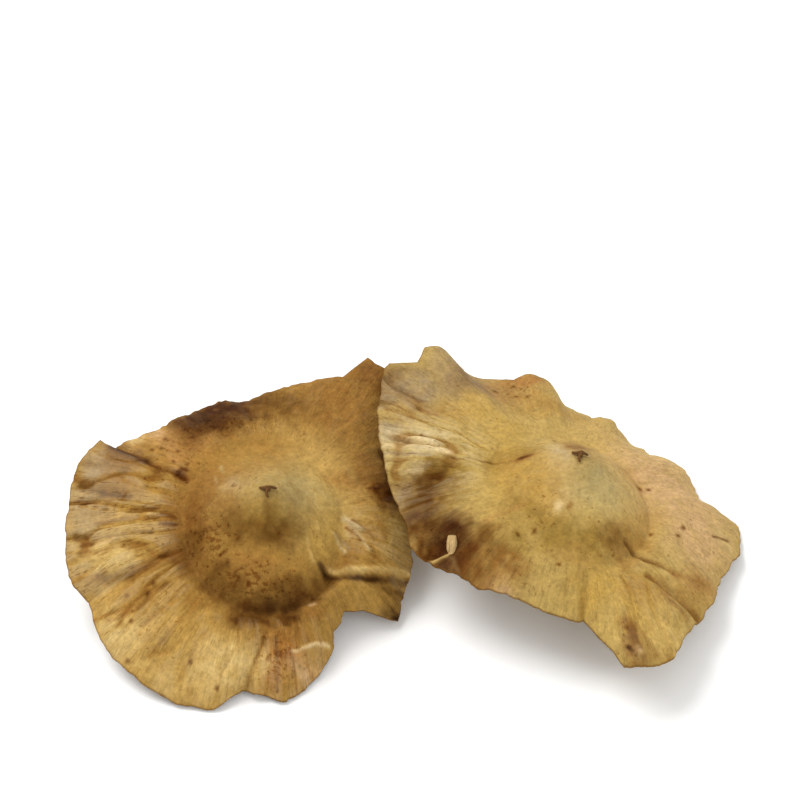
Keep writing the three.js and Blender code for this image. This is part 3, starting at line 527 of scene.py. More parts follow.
def bearings_through(stations):
    """Radial lines through every station, with evenly spread lines between them."""
    lines = []
    for index, (bearing, _, _) in enumerate(stations):
        following = stations[(index + 1) % len(stations)][0]
        gap = (following - bearing) % 360
        steps = math.ceil(gap / BEARING_STEP)
        lines += [bearing + gap * step / steps for step in range(steps)]
    return np.array(lines)


def margin_at(stations, bearing):
    """Reach runs straight from station to station; lift follows a smooth curve through them."""
    angles, reaches, lifts = np.array(stations, float).T
    turned = (bearing - angles[0]) % 360 + angles[0]
    count = len(angles)
    index = np.clip(np.searchsorted(angles, turned, side="right") - 1, 0, count - 1)

    def station(offset):
        place = index + offset
        return angles[place % count] + 360 * (place // count), lifts[place % count]

    (a0, l0), (a1, l1), (a2, l2), (a3, l3) = (station(k) for k in (-1, 0, 1, 2))
    gap = a2 - a1
    t = (turned - a1) / gap
    slope_from = (l2 - l0) / (a2 - a0) * gap
    slope_to = (l3 - l1) / (a3 - a1) * gap
    lift = l1 + (l2 - l1) * t * t * (3 - 2 * t)
    lift = lift + t * (1 - t) * ((1 - t) * slope_from - t * slope_to)
    reach = reaches[index] + (reaches[(index + 1) % count] - reaches[index]) * t
    return reach, lift


def groove_at(fruit, bearing):
    away = np.radians(bearing - fruit["full_side"])
    return fruit["groove_radius"] + fruit["groove_bulge"] * np.maximum(0, np.cos(away)) ** 2


def by_side(fruit, key, bearing):
    """A value that runs from the side where the body flows into the wing to its full side."""
    flowing, full = fruit[key]
    return flowing + (full - flowing) * (1 + np.cos(np.radians(bearing - fruit["full_side"]))) / 2


def along_segment(x, y, start, end):
    """Share of the way along a segment, and distance from it, for every point."""
    (ax, ay), (bx, by) = polar(*start), polar(*end)
    dx, dy = bx - ax, by - ay
    share = np.clip(((x - ax) * dx + (y - ay) * dy) / (dx * dx + dy * dy), 0, 1)
    return share, np.hypot(x - ax - share * dx, y - ay - share * dy)


def relief(fruit, x, y):
    """The large folds and hollows of the wing."""
    height = np.zeros_like(x)
    for start, end, size, width in fruit["folds"]:
        share, distance = along_segment(x, y, start, end)
        height += size * np.minimum(1, 0.35 + share) * bump(distance, width)
    for centre, depth, radius in fruit["hollows"]:
        cx, cy = polar(*centre)
        height -= depth * bump(np.hypot(x - cx, y - cy), radius)
    return height


def rib_gain(fruit, bearing):
    gain = np.full_like(bearing, fruit["rib_base"])
    for centre, half_width, extra in fruit["rib_sectors"]:
        gain += extra * bump(bearing_gap(bearing, centre), half_width)
    return gain


def rib_height(fruit, settings, bearing, reach, share):
    """Radial corrugation of the wing: broad ridges with narrow valleys between them."""
    x, y = polar(bearing, reach)
    seed = fruit["seed"]
    drift = 0.6 * noise(x / 3.5, y / 3.5, seed + 1)
    ribs = np.zeros_like(x)
    for order, (count, size, length) in enumerate(RIB_SETS):
        wave = noise(bearing / 360 * count + drift, reach / length, seed + 10 + order, wrap=count)
        ribs += size * (np.minimum(1, 4 * np.abs(wave)) - 0.75)
    return ribs * settings.rib_height * rib_gain(fruit, bearing) * np.clip(share * 5, 0, 1)


def swellings(x, y, sets, seed):
    return sum(height * noise(x / spacing, y / spacing, seed + order)
               for order, (height, spacing) in enumerate(sets))


def crumple_height(fruit, settings, x, y, share):
    """Cockled wing, small warts of the body, and faint seams that run down from the style."""
    seed = fruit["seed"]
    on_wing = np.clip(share * 3, 0, 1)
    cockle = swellings(x, y, COCKLES, seed + 20) * on_wing
    wrinkle = swellings(x, y, WRINKLES, seed + 21)
    reach = np.hypot(x, y)
    body = swellings(x, y, WARTS, seed + 30) * (1 - on_wing) * np.clip(reach / 1.5, 0, 1)
    crinkles = np.zeros_like(x)
    for start, end, height in fruit["crinkles"]:
        _, distance = along_segment(x, y, start, end)
        crinkles += height * bump(distance, CRINKLE_WIDTH)
    for bearing, _ in fruit["style_arms"]:
        dx, dy = fruit["crown_offset"]
        _, distance = along_segment(x - dx, y - dy, (bearing, 0.3), (bearing, SEAM_END))
        body -= SEAM_DEPTH * bump(distance, SEAM_WIDTH)
    return settings.wrinkle_height * (cockle + wrinkle + body + crinkles)


def on_body(fruit, bearing, reach, share):
    """Where a point of the dome lies; the crown sits a little off the axis."""
    x, y = polar(bearing, reach)
    dx, dy = fruit["crown_offset"]
    return x + dx * (1 - share ** 2), y + dy * (1 - share ** 2)


def dome_height(fruit, bearing, reach, share):
    """The seed body: a round cap on its full side, a flowing bell on the other, with a small tip."""
    tip, tip_width = fruit["crown_tip"]
    roundness = by_side(fruit, "roundness", bearing)
    cap = roundness * (1 - share ** 2) + (1 - roundness) * (1 + np.cos(np.pi * share)) / 2
    return (fruit["dome_height"] - tip) * cap + tip * bump(reach, tip_width)


def body_top(fruit, settings, bearing, share):
    inner = groove_at(fruit, bearing)
    reach = inner * share
    x, y = on_body(fruit, bearing, reach, share)
    groove = -by_side(fruit, "groove_depth", bearing) * bump(inner - reach, settings.groove_width)
    crumple = crumple_height(fruit, settings, x, y, np.zeros_like(share))
    height = dome_height(fruit, bearing, reach, share) + groove + relief(fruit, x, y) + crumple
    return reach, height, np.zeros_like(share)


def wing_top(fruit, settings, bearing, share):
    margin_reach, lift = margin_at(fruit["margin"], bearing)
    seed = fruit["seed"]
    nibble = sum(depth * noise(bearing / 360 * count, 0 * bearing, seed + 2 + order, wrap=count)
                 for order, (depth, count) in enumerate(NIBBLES))
    inner = groove_at(fruit, bearing)
    reach = inner + (margin_reach - inner + nibble * share ** 6) * share
    x, y = polar(bearing, reach)
    bow = by_side(fruit, "swell", bearing) * 4 * share * (1 - share)
    groove = -by_side(fruit, "groove_depth", bearing) * bump(reach - inner, settings.groove_width)
    tip, tip_width = fruit["crown_tip"]
    ribs = rib_height(fruit, settings, bearing, reach, share)
    crumple = crumple_height(fruit, settings, x, y, share)
    shape = lift * share ** 1.3 + bow + groove + tip * bump(reach, tip_width)
    return reach, shape + relief(fruit, x, y) + ribs + crumple, ribs


def wing_under(fruit, settings, bearing, share):
    reach, height, ribs = wing_top(fruit, settings, bearing, share)
    thinning = (settings.margin_thickness - settings.wing_thickness) * share
    return reach, height - (settings.wing_thickness + thinning), -ribs


def body_under(fruit, settings, bearing, share):
    """The round underside of the body, with a flat seat for the stalk."""
    inner = groove_at(fruit, bearing)
    reach = inner * share
    edge = inner * 0.8
    outward = np.clip((reach - SEAT_RADIUS) / (edge - SEAT_RADIUS), 0, 1)
    bulge = settings.under_depth * (1 - outward * outward) ** 0.7
    x, y = polar(bearing, reach)
    crumple = crumple_height(fruit, settings, x, y, np.zeros_like(share))
    crumple = crumple * np.clip(share * 4 - 1, 0, 1)
    join = np.clip(share * 5 - 4, 0, 1)
    groove = by_side(fruit, "groove_depth", bearing)
    level = -0.35 * (1 - join) - groove * join + relief(fruit, x, y) * join
    return reach, level - settings.wing_thickness - bulge + crumple, np.zeros_like(share)


# ---------------------------------------------------------------------------
# Colour, painted on the surface in the fruit's own frame
# ---------------------------------------------------------------------------

def mix_in(colour, name, weight):
    return colour + (display(COLOURS[name]) - colour) * weight[..., None]


def spot(x, y, bearing, reach, along, across):
    """1 at a point of the wing, fading out round it in an oval that points outwards."""
    sx, sy = polar(bearing, reach)
    ux, uy = polar(bearing, 1.0)
    dx, dy = x - sx, y - sy
    return np.exp(-((dx * ux + dy * uy) / along) ** 2 - ((dy * ux - dx * uy) / across) ** 2)


def paint(fruit, x, y, under):
    """The dry wing's colour at every point: a base, then patches, lines and specks, some of which are
    painted shade, shadow and highlight.
    """
    seed = fruit["seed"]
    wx = x + 0.3 * noise(x / 0.7, y / 0.7, seed + 40) + 0.45 * noise(x / 2.3, y / 2.3, seed + 41)
    wy = y + 0.3 * noise(x / 0.7, y / 0.7, seed + 42) + 0.45 * noise(x / 2.3, y / 2.3, seed + 43)
    wx = wx + 0.12 * noise(x / 0.3, y / 0.3, seed + 49)
    wy = wy + 0.12 * noise(x / 0.3, y / 0.3, seed + 50)
    broken = np.clip(0.9 + 0.35 * noise(x / 0.5, y / 0.5, seed + 51), 0, 1)
    colour = np.zeros(x.shape + (3,)) + display(COLOURS[fruit["base"]])
    for bearing, reach, along, across, name, strength in fruit["patches"]:
        inside = np.minimum(1, 1.25 * spot(wx, wy, bearing, reach, along, across))
        weight = strength * broken * inside
        colour = mix_in(colour, name, weight * (1 - under * 0.75))
    fx = x + 0.05 * noise(x / 0.35, y / 0.35, seed + 44) + 0.15 * noise(x / 1.6, y / 1.6, seed + 46)
    fy = y + 0.05 * noise(x / 0.35, y / 0.35, seed + 45) + 0.15 * noise(x / 1.6, y / 1.6, seed + 47)
    for start, end, width, name, strength in fruit["lines"]:
        _, distance = along_segment(fx, fy, start, end)
        dashed = np.clip(0.8 + 0.5 * noise(x / 1.1, y / 1.1, seed + 48), 0.35, 1)
        colour = mix_in(colour, name, strength * dashed * bump(distance, width) * (1 - under))
    for bearing, reach in fruit["specks"]:
        mark = spot(fx, fy, bearing, reach, *SPECK_SIZE)
        colour = mix_in(colour, "red_brown", SPECK_STRENGTH * mark * (1 - under))
    return linear(colour)


def stain_amount(fruit, x, y):
    amount = np.zeros_like(x)
    for bearing, reach, along, across, strength in fruit["stains"]:
        amount = np.maximum(amount, strength * spot(x, y, bearing, reach, along, across))
    return amount


# ---------------------------------------------------------------------------
# Mesh making
# ---------------------------------------------------------------------------

def rotation_of(fruit):
    towards = math.radians(fruit["lean_towards"])
    hinge = Vector((-math.sin(towards), math.cos(towards), 0))
    return Quaternion(hinge, math.radians(fruit["lean"]))


def placed(fruit):
    """Rotation matrix and centre, in millimetres, that put the fruit where its CAD solid is."""
    turn = np.array(rotation_of(fruit).to_matrix())
    bearing = np.array([station[0] for station in fruit["margin"]], float)
    reach, lift = margin_at(fruit["margin"], bearing)
    x, y = polar(bearing, reach)
    height = lift + relief(fruit, x, y)
    top = np.stack([x, y, height], -1) @ turn.T
    bottom = np.stack([x, y, height - SOLID_MARGIN], -1) @ turn.T
    rim = np.concatenate([top, bottom])
    crown = turn @ np.array([*fruit["crown_offset"], fruit["dome_height"]])
    low, high = (np.array(corner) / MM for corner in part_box(fruit["name"] + "_fruit"))
    centre = (low + high) / 2 - (rim.min(0) + rim.max(0)) / 2
    centre[2] = high[2] - crown[2]
    return turn, centre


def grid_faces(rings, count, first):
    """Quads between stacked rings of the same number of points."""
    ring = first + np.arange(rings - 1)[:, None] * count
    line = np.arange(count)[None, :]
    following = (line + 1) % count
    quads = np.stack([ring + line, ring + count + line,
                      ring + count + following, ring + following], -1)
    return quads.reshape(-1, 4).tolist()


def float_attribute(mesh, name, values):
    attribute = mesh.attributes.new(name, "FLOAT", "POINT")
    attribute.data.foreach_set("value", np.asarray(values, np.float32).ravel())


def vector_attribute(mesh, name, values):
    attribute = mesh.attributes.new(name, "FLOAT_VECTOR", "POINT")
    attribute.data.foreach_set("vector", np.asarray(values, np.float32).ravel())


def colour_attribute(mesh, name, values):
    attribute = mesh.attributes.new(name, "FLOAT_COLOR", "POINT")
    rgba = np.concatenate([values, np.ones(values.shape[:-1] + (1,))], -1)
    attribute.data.foreach_set("color", np.asarray(rgba, np.float32).ravel())


def new_piece(name, points, faces, material, node):
    """A mesh object in metres that rides on the CAD body and stands for its CAD node."""
    mesh = bpy.data.meshes.new(name)
    mesh.from_pydata((np.asarray(points) * MM).tolist(), [], faces)
    mesh.validate()
    mesh.shade_smooth()
    mesh.materials.append(material)
    piece = bpy.data.objects.new(name, mesh)
    bpy.context.scene.collection.objects.link(piece)
    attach(piece, "root")
    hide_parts(node)
    return piece


def with_tips(first, values, last):
    """Surface values in one row, with those of the crown's point and the lowest point at its ends."""
    return np.concatenate([[first], values.ravel(), [last]])


def fruit_skin(fruit, settings):
    """Points, faces and surface values of one whole fruit in its own frame."""
    lines = bearings_through(fruit["margin"])
    count = len(lines)
    layers = []

    def add_layer(surface, shares, on_wing, under):
        share, bearing = np.meshgrid(shares, lines, indexing="ij")
        reach, height, rib = surface(fruit, settings, bearing, share)
        wing = share if on_wing else np.zeros_like(share)
        layers.append((bearing, reach, height, rib, wing, np.full_like(share, under)))

    body_shares = np.linspace(0, 1, BODY_RINGS + 1)[1:-1]
    wing_shares = np.linspace(0, 1, WING_RINGS)
    add_layer(body_top, body_shares, False, 0.0)
    add_layer(wing_top, wing_shares, True, 0.0)
    add_layer(wing_under, np.linspace(1, 0, UNDER_WING_RINGS), True, 1.0)
    add_layer(body_under, np.linspace(1, 0, UNDER_BODY_RINGS + 1)[1:-1], False, 1.0)
    bearing, reach, height, rib, wing, under = (
        np.concatenate([layer[k] for layer in layers]) for k in range(6))
    x, y = polar(bearing, reach)
    x[:len(body_shares)], y[:len(body_shares)] = on_body(
        fruit, bearing[:len(body_shares)], reach[:len(body_shares)], body_shares[:, None])
    rings = len(bearing)
    tip_top = [*fruit["crown_offset"], fruit["dome_height"]]
    tip_under = [0, 0, height[-1].mean()]
    points = np.concatenate([[tip_top], np.stack([x, y, height], -1).reshape(-1, 3), [tip_under]])
    faces = grid_faces(rings, count, 1)
    last = len(points) - 1
    for line in range(count):
        following = (line + 1) % count
        faces.append((0, 1 + line, 1 + following))
        faces.append((last, last - count + following, last - count + line))
    values = {
        "rib": with_tips(0, np.clip(rib / FULL_RIB, -2, 2), 0),
        "wing": with_tips(0, wing, 0),
        "under": with_tips(0, under, 1),
    }
    return points, faces, values


def build_fruit(fruit, settings, material):
    points, faces, values = fruit_skin(fruit, settings)
    turn, centre = placed(fruit)
    x, y = points[:, 0], points[:, 1]
    reach = np.hypot(x, y)
    angle = np.arctan2(y, x)
    node = fruit["name"] + "_fruit"
    piece = new_piece(node + "_skin", points @ turn.T + centre, faces, material, node)
    mesh = piece.data
    colour_attribute(mesh, "tint", paint(fruit, x, y, values["under"]))
    float_attribute(mesh, "stain", stain_amount(fruit, x, y))
    float_attribute(mesh, "lined", np.minimum(1, 0.6 * rib_gain(fruit, np.degrees(angle))))
    streak = np.stack([36 * np.cos(angle), 36 * np.sin(angle), 0.5 * reach], -1)
    vector_attribute(mesh, "streak", streak)
    vector_attribute(mesh, "place", points + np.array([fruit["seed"], 0, 0]))
    for name, value in values.items():
        float_attribute(mesh, name, value)
    return piece


def crown_height(fruit, bearing, reach):
    return dome_height(fruit, bearing, reach, reach / groove_at(fruit, bearing))


def tube(path, radii, sides, seed, roughness=0.06):
    """A closed, slightly irregular tube along points, with its streak directions."""
    path = np.asarray(path, float)
    radii = np.asarray(radii, float)
    tangents = np.gradient(path, axis=0)
    tangents /= np.linalg.norm(tangents, axis=1)[:, None]
    points, streaks = [], []
    length = 0.0
    side = np.cross(tangents[0], [0.3, 0.9, 0.2])
    for index, (centre, tangent, radius) in enumerate(zip(path, tangents, radii)):
        side = side - tangent * (side @ tangent)
        side /= np.linalg.norm(side)
        other = np.cross(tangent, side)
        length += np.linalg.norm(centre - path[index - 1]) if index else 0.0
        for corner in range(sides):
            angle = 2 * math.pi * corner / sides
            wave = noise(np.array(corner * 0.5), np.array(length * 1.3), seed, wrap=sides // 2)
            r = radius * (1 + roughness * float(wave))
            points.append(centre + r * (math.cos(angle) * side + math.sin(angle) * other))
            streaks.append((9 * math.cos(angle), 9 * math.sin(angle), 0.8 * length))
    faces = grid_faces(len(path), sides, 0)
    faces = [tuple(reversed(face)) for face in faces]
    last = len(points)
    points += [path[0], path[-1]]
    streaks += [(0, 0, 0), (0, 0, 0.8 * length)]
    for corner in range(sides):
        following = (corner + 1) % sides
        faces.append((last, following, corner))
        faces.append((last + 1, last - sides + corner, last - sides + following))
    return np.array(points), faces, np.array(streaks)


def join_shapes(shapes):
    points, faces, streaks, first = [], [], [], 0
    for shape_points, shape_faces, shape_streaks in shapes:
        points.append(shape_points)
        streaks.append(shape_streaks)
        faces += [tuple(corner + first for corner in face) for face in shape_faces]
        first += len(shape_points)
    return np.concatenate(points), faces, np.concatenate(streaks)


# The withered style: radius of an arm at its root, how far the arms rise there above the crown,
# and the stub's heights above the crown with its radii.
ARM_RADIUS = 0.15
ARM_RISE = 0.24
STUB_HEIGHTS = (0.05, 0.2, 0.36, 0.44)
STUB_RADII = (0.24, 0.22, 0.17, 0.08)


def build_style(fruit, material):
    """The withered style: three thin arms that curl down over the crown from a short stub."""
    turn, centre = placed(fruit)
    shapes = []
    for order, (bearing, reach) in enumerate(fruit["style_arms"]):
        along = np.linspace(0, 1, 14)
        distance = reach * along
        bend = bearing + 14 * np.sin(along * 2.6 + order * 2.0)
        x, y = polar(bend, distance)
        x, y = x + fruit["crown_offset"][0], y + fruit["crown_offset"][1]
        z = crown_height(fruit, bend, distance) + 0.16 + ARM_RISE * (1 - along) ** 2
        radii = ARM_RADIUS * (1 - 0.4 * along)
        radii[-1] = 0.05
        shapes.append(tube(np.stack([x, y, z], -1), radii, 12, fruit["seed"] + order, 0.18))
    stub = [[*fruit["crown_offset"], fruit["dome_height"] + height] for height in STUB_HEIGHTS]
    shapes.append(tube(stub, STUB_RADII, 16, fruit["seed"] + 5, 0.15))
    points, faces, streaks = join_shapes(shapes)
    node = fruit["name"] + "_style"
    piece = new_piece(node + "_arms", points @ turn.T + centre, faces, material,
                      node)
    vector_attribute(piece.data, "streak", streaks)
    vector_attribute(piece.data, "place", points)
    return piece


# The stalk: how far its top lies below the ring groove, apart from the body's own underside, and
# how far the middle of its foot lies inside the far corner of its box.
STALK_TOP_BELOW_BODY = 0.9
FOOT_INSET = 0.62
STEM_RADIUS = 0.5
# How far the calyx cup at the top and the cut end at the foot stand out round the stem.
CUP_FLARE = 0.95
FOOT_FLARE = 0.1


def build_stalk(fruit, settings, material):
    """A short woody stalk below the body: a flared calyx cup, a bent stem and a flat cut end."""
    turn, centre = placed(fruit)
    node = fruit["name"] + "_stalk"
    low, high = (np.array(corner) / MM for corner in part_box(node))
    axis = turn[:, 2]
    top = centre - axis * (STALK_TOP_BELOW_BODY + settings.under_depth)
    foot_x = low[0] if abs(low[0] - top[0]) > abs(high[0] - top[0]) else high[0]
    foot_y = low[1] if abs(low[1] - top[1]) > abs(high[1] - top[1]) else high[1]
    foot = np.array([foot_x - math.copysign(FOOT_INSET, foot_x - top[0]),
                     foot_y - math.copysign(FOOT_INSET, foot_y - top[1]), 0.0])
    bend, above = top - axis * 1.7, foot + np.array([0, 0, 1.6])
    t = np.linspace(0, 1, 60)[:, None]
    upper = (1 - t) ** 3 * top + 3 * (1 - t) ** 2 * t * bend
    lower = 3 * (1 - t) * t * t * above + t ** 3 * foot
    share = t[:, 0]
    radii = STEM_RADIUS + CUP_FLARE * bump(share, 0.13) + FOOT_FLARE * bump(share - 1, 0.08)
    points, faces, streaks = tube(upper + lower, radii, 32, fruit["seed"] + 60, 0.08)
    points[:, 2] = np.maximum(points[:, 2], 0)
    piece = new_piece(node + "_stem", points, faces, material, node)
    vector_attribute(piece.data, "streak", streaks)
    vector_attribute(piece.data, "place", points)
    return piece


# Foot and tip of the torn splinter in the right fruit's own frame.
SPLINTER_FOOT = np.array([-8.97, -6.25, -3.0])
SPLINTER_TIP = np.array([-9.25, -5.2, -1.75])


def build_splinter(fruit, material):
    """A torn splinter of the wing that stands in the hollow, with a flat pale end."""
    turn, centre = placed(fruit)
    along = np.linspace(0, 1, 22)[:, None]
    foot, tip = SPLINTER_FOOT, SPLINTER_TIP
    path = foot + (tip - foot) * along + np.array([0.0, 0.08, 0.0]) * np.sin(along * 3.1)
    radii = 0.31 + 0.1 * np.sin(math.pi * np.minimum(1, 1.2 * (1 - along[:, 0])))
    sliver = foot + np.array([-0.4, 0.1, 0.35]) + np.array([-0.1, 0.35, 0.55]) * along
    points, faces, streaks = join_shapes([
        tube(path, radii, 20, 77, 0.12),
        tube(sliver, 0.14 * np.sin(math.pi * (0.12 + 0.8 * along[:, 0])), 12, 78, 0.15),
    ])
    piece = new_piece("right_fruit_splinter", points @ turn.T + centre, faces, material,
                      "right_fruit")
    vector_attribute(piece.data, "streak", streaks)
    vector_attribute(piece.data, "place", points)
    return piece


# ---------------------------------------------------------------------------
# Shader node groups, each with named inputs and outputs
# ---------------------------------------------------------------------------

def add_node(tree, kind, inputs=(), **settings):
    node = tree.nodes.new(kind)
    for name, value in settings.items():
        setattr(node, name, value)
    for socket, value in dict(inputs).items():
        target = node.inputs[socket]
        if isinstance(value, bpy.types.NodeSocket):
            tree.links.new(value, target)
        else:
            target.default_value = value
    return node


def new_group(name, inputs, outputs):
    """An empty node group. inputs and outputs are (name, socket type, default)."""
    group = bpy.data.node_groups.new(name, "ShaderNodeTree")
    for socket_name, kind, default in inputs:
        socket = group.interface.new_socket(socket_name, in_out="INPUT", socket_type=kind)
        if default is not None:
            socket.default_value = default
    for socket_name, kind, _ in outputs:
        group.interface.new_socket(socket_name, in_out="OUTPUT", socket_type=kind)
    return group, group.nodes.new("NodeGroupInput"), group.nodes.new("NodeGroupOutput")


FLOAT, VECTOR = "NodeSocketFloat", "NodeSocketVector"


def fibre_group():
    """Fine fibres that run along the streak direction."""
    group, given, made = new_group(
        "Dry fibres",
        [("Streak", VECTOR, None), ("Scale", FLOAT, 1.0), ("Contrast", FLOAT, 0.3)],
        [("Shade", FLOAT, None), ("Height", FLOAT, None)])
    scaled = add_node(group, "ShaderNodeVectorMath", {0: given.outputs["Streak"]}, operation="SCALE")
    group.links.new(given.outputs["Scale"], scaled.inputs["Scale"])
    broad = add_node(group, "ShaderNodeTexNoise",
                     {"Vector": scaled.outputs[0], "Scale": 1.0, "Detail": 4.0, "Roughness": 0.6})
    fine = add_node(group, "ShaderNodeTexNoise",
                    {"Vector": scaled.outputs[0], "Scale": 3.2, "Detail": 3.0, "Roughness": 0.55})
    both = add_node(group, "ShaderNodeMath", {0: broad.outputs["Fac"], 1: fine.outputs["Fac"]},
                    operation="ADD")
    centred = add_node(group, "ShaderNodeMath", {0: both.outputs[0], 1: 1.0}, operation="SUBTRACT")
    shade = add_node(group, "ShaderNodeMath",
                     {0: centred.outputs[0], 1: given.outputs["Contrast"], 2: 1.0},
                     operation="MULTIPLY_ADD")
    group.links.new(shade.outputs[0], made.inputs["Shade"])
    group.links.new(centred.outputs[0], made.inputs["Height"])
    return group


def speck_group():
    """Small brown specks, gathered in clusters."""
    group, given, made = new_group(
        "Brown specks",
        [("Place", VECTOR, None), ("Scale", FLOAT, 1.0), ("Amount", FLOAT, 0.5)],
        [("Mask", FLOAT, None)])
    ragged = add_node(group, "ShaderNodeTexNoise",
                      {"Vector": given.outputs["Place"], "Scale": 4.0, "Detail": 2.0})
    shifted = add_node(group, "ShaderNodeVectorMath",
                       {0: ragged.outputs["Color"], 1: (0.25, 0.25, 0.25), 2: given.outputs["Place"]},
                       operation="MULTIPLY_ADD")
    cells = add_node(group, "ShaderNodeTexVoronoi",
                     {"Vector": shifted.outputs[0], "Scale": given.outputs["Scale"], "Randomness": 1.0})
    dot = add_node(group, "ShaderNodeMapRange",
                   {"Value": cells.outputs["Distance"], "From Min": 0.05, "From Max": 0.3,
                    "To Min": 1.0, "To Max": 0.0})
    clusters = add_node(group, "ShaderNodeTexNoise",
                        {"Vector": given.outputs["Place"], "Scale": 0.35, "Detail": 3.0})
    where = add_node(group, "ShaderNodeMapRange",
                     {"Value": clusters.outputs["Fac"], "From Min": 0.45, "From Max": 0.65})
    strength = add_node(group, "ShaderNodeMath", {0: where.outputs[0], 1: given.outputs["Amount"]},
                        operation="MULTIPLY")
    mask = add_node(group, "ShaderNodeMath", {0: dot.outputs[0], 1: strength.outputs[0]},
                    operation="MULTIPLY")
    group.links.new(mask.outputs[0], made.inputs["Mask"])
    return group


def mottle_group():
    """Soft uneven shading, as a value round 1."""
    group, given, made = new_group(
        "Soft mottling",
        [("Place", VECTOR, None), ("Scale", FLOAT, 1.0), ("Contrast", FLOAT, 0.3)],
        [("Shade", FLOAT, None)])
    cloud = add_node(group, "ShaderNodeTexNoise",
                     {"Vector": given.outputs["Place"], "Scale": given.outputs["Scale"],
                      "Detail": 6.0, "Roughness": 0.65})
    centred = add_node(group, "ShaderNodeMath", {0: cloud.outputs["Fac"], 1: 0.5}, operation="SUBTRACT")
    shade = add_node(group, "ShaderNodeMath",
                     {0: centred.outputs[0], 1: given.outputs["Contrast"], 2: 1.0},
                     operation="MULTIPLY_ADD")
    group.links.new(shade.outputs[0], made.inputs["Shade"])
    return group


GROUP_MAKERS = {"Dry fibres": fibre_group, "Brown specks": speck_group, "Soft mottling": mottle_group}


def group_node(tree, name, inputs):
    """Place a node group in a material; the group itself is made the first time."""
    group = bpy.data.node_groups.get(name) or GROUP_MAKERS[name]()
    return add_node(tree, "ShaderNodeGroup", inputs, node_tree=group)


# ---------------------------------------------------------------------------
# Materials
# ---------------------------------------------------------------------------

# Painted shade for the rib valleys and the underside, a painted highlight for the rib ridges, the
# colours of fibres and mottling laid over the painted tint, and the floor's own colour, as linear
# values.
VALLEY_SHADE = (0.5, 0.32, 0.14, 1)
RIDGE_HIGHLIGHT = (1.0, 0.87, 0.6, 1)
FIBRE_SHADE = (0.42, 0.24, 0.1, 1)
MOTTLED_SHADE = (0.42, 0.25, 0.1, 1)
UNDER_SHADE = (0.5, 0.42, 0.3, 1)
FLOOR_COLOUR = (0.93, 0.93, 0.92, 1)


def new_material(name):
    material = bpy.data.materials.new(name)
    material.use_nodes = True
    tree = material.node_tree
    tree.nodes.clear()
    output = tree.nodes.new("ShaderNodeOutputMaterial")
    shader = tree.nodes.new("ShaderNodeBsdfPrincipled")
    tree.links.new(shader.outputs[0], output.inputs["Surface"])
    return material, tree, shader


def attribute(tree, name, output):
    return add_node(tree, "ShaderNodeAttribute", attribute_name=name).outputs[output]


def mixed(tree, factor, first, second, blend="MIX"):
    node = tree.nodes.new("ShaderNodeMix")
    node.data_type = "RGBA"
    node.blend_type = blend
    node.clamp_factor = True
    for socket, value in ((node.inputs[0], factor), (node.inputs[6], first), (node.inputs[7], second)):
        if isinstance(value, bpy.types.NodeSocket):
            tree.links.new(value, socket)
        else:
            socket.default_value = value
    return node.outputs[2]


def math_node(tree, operation, *values):
    return add_node(tree, "ShaderNodeMath", dict(enumerate(values)), operation=operation).outputs[0]


def ranged(tree, value, low, high, to_low, to_high):
    return add_node(tree, "ShaderNodeMapRange",
                    {"Value": value, "From Min": low, "From Max": high,
                     "To Min": to_low, "To Max": to_high}).outputs[0]


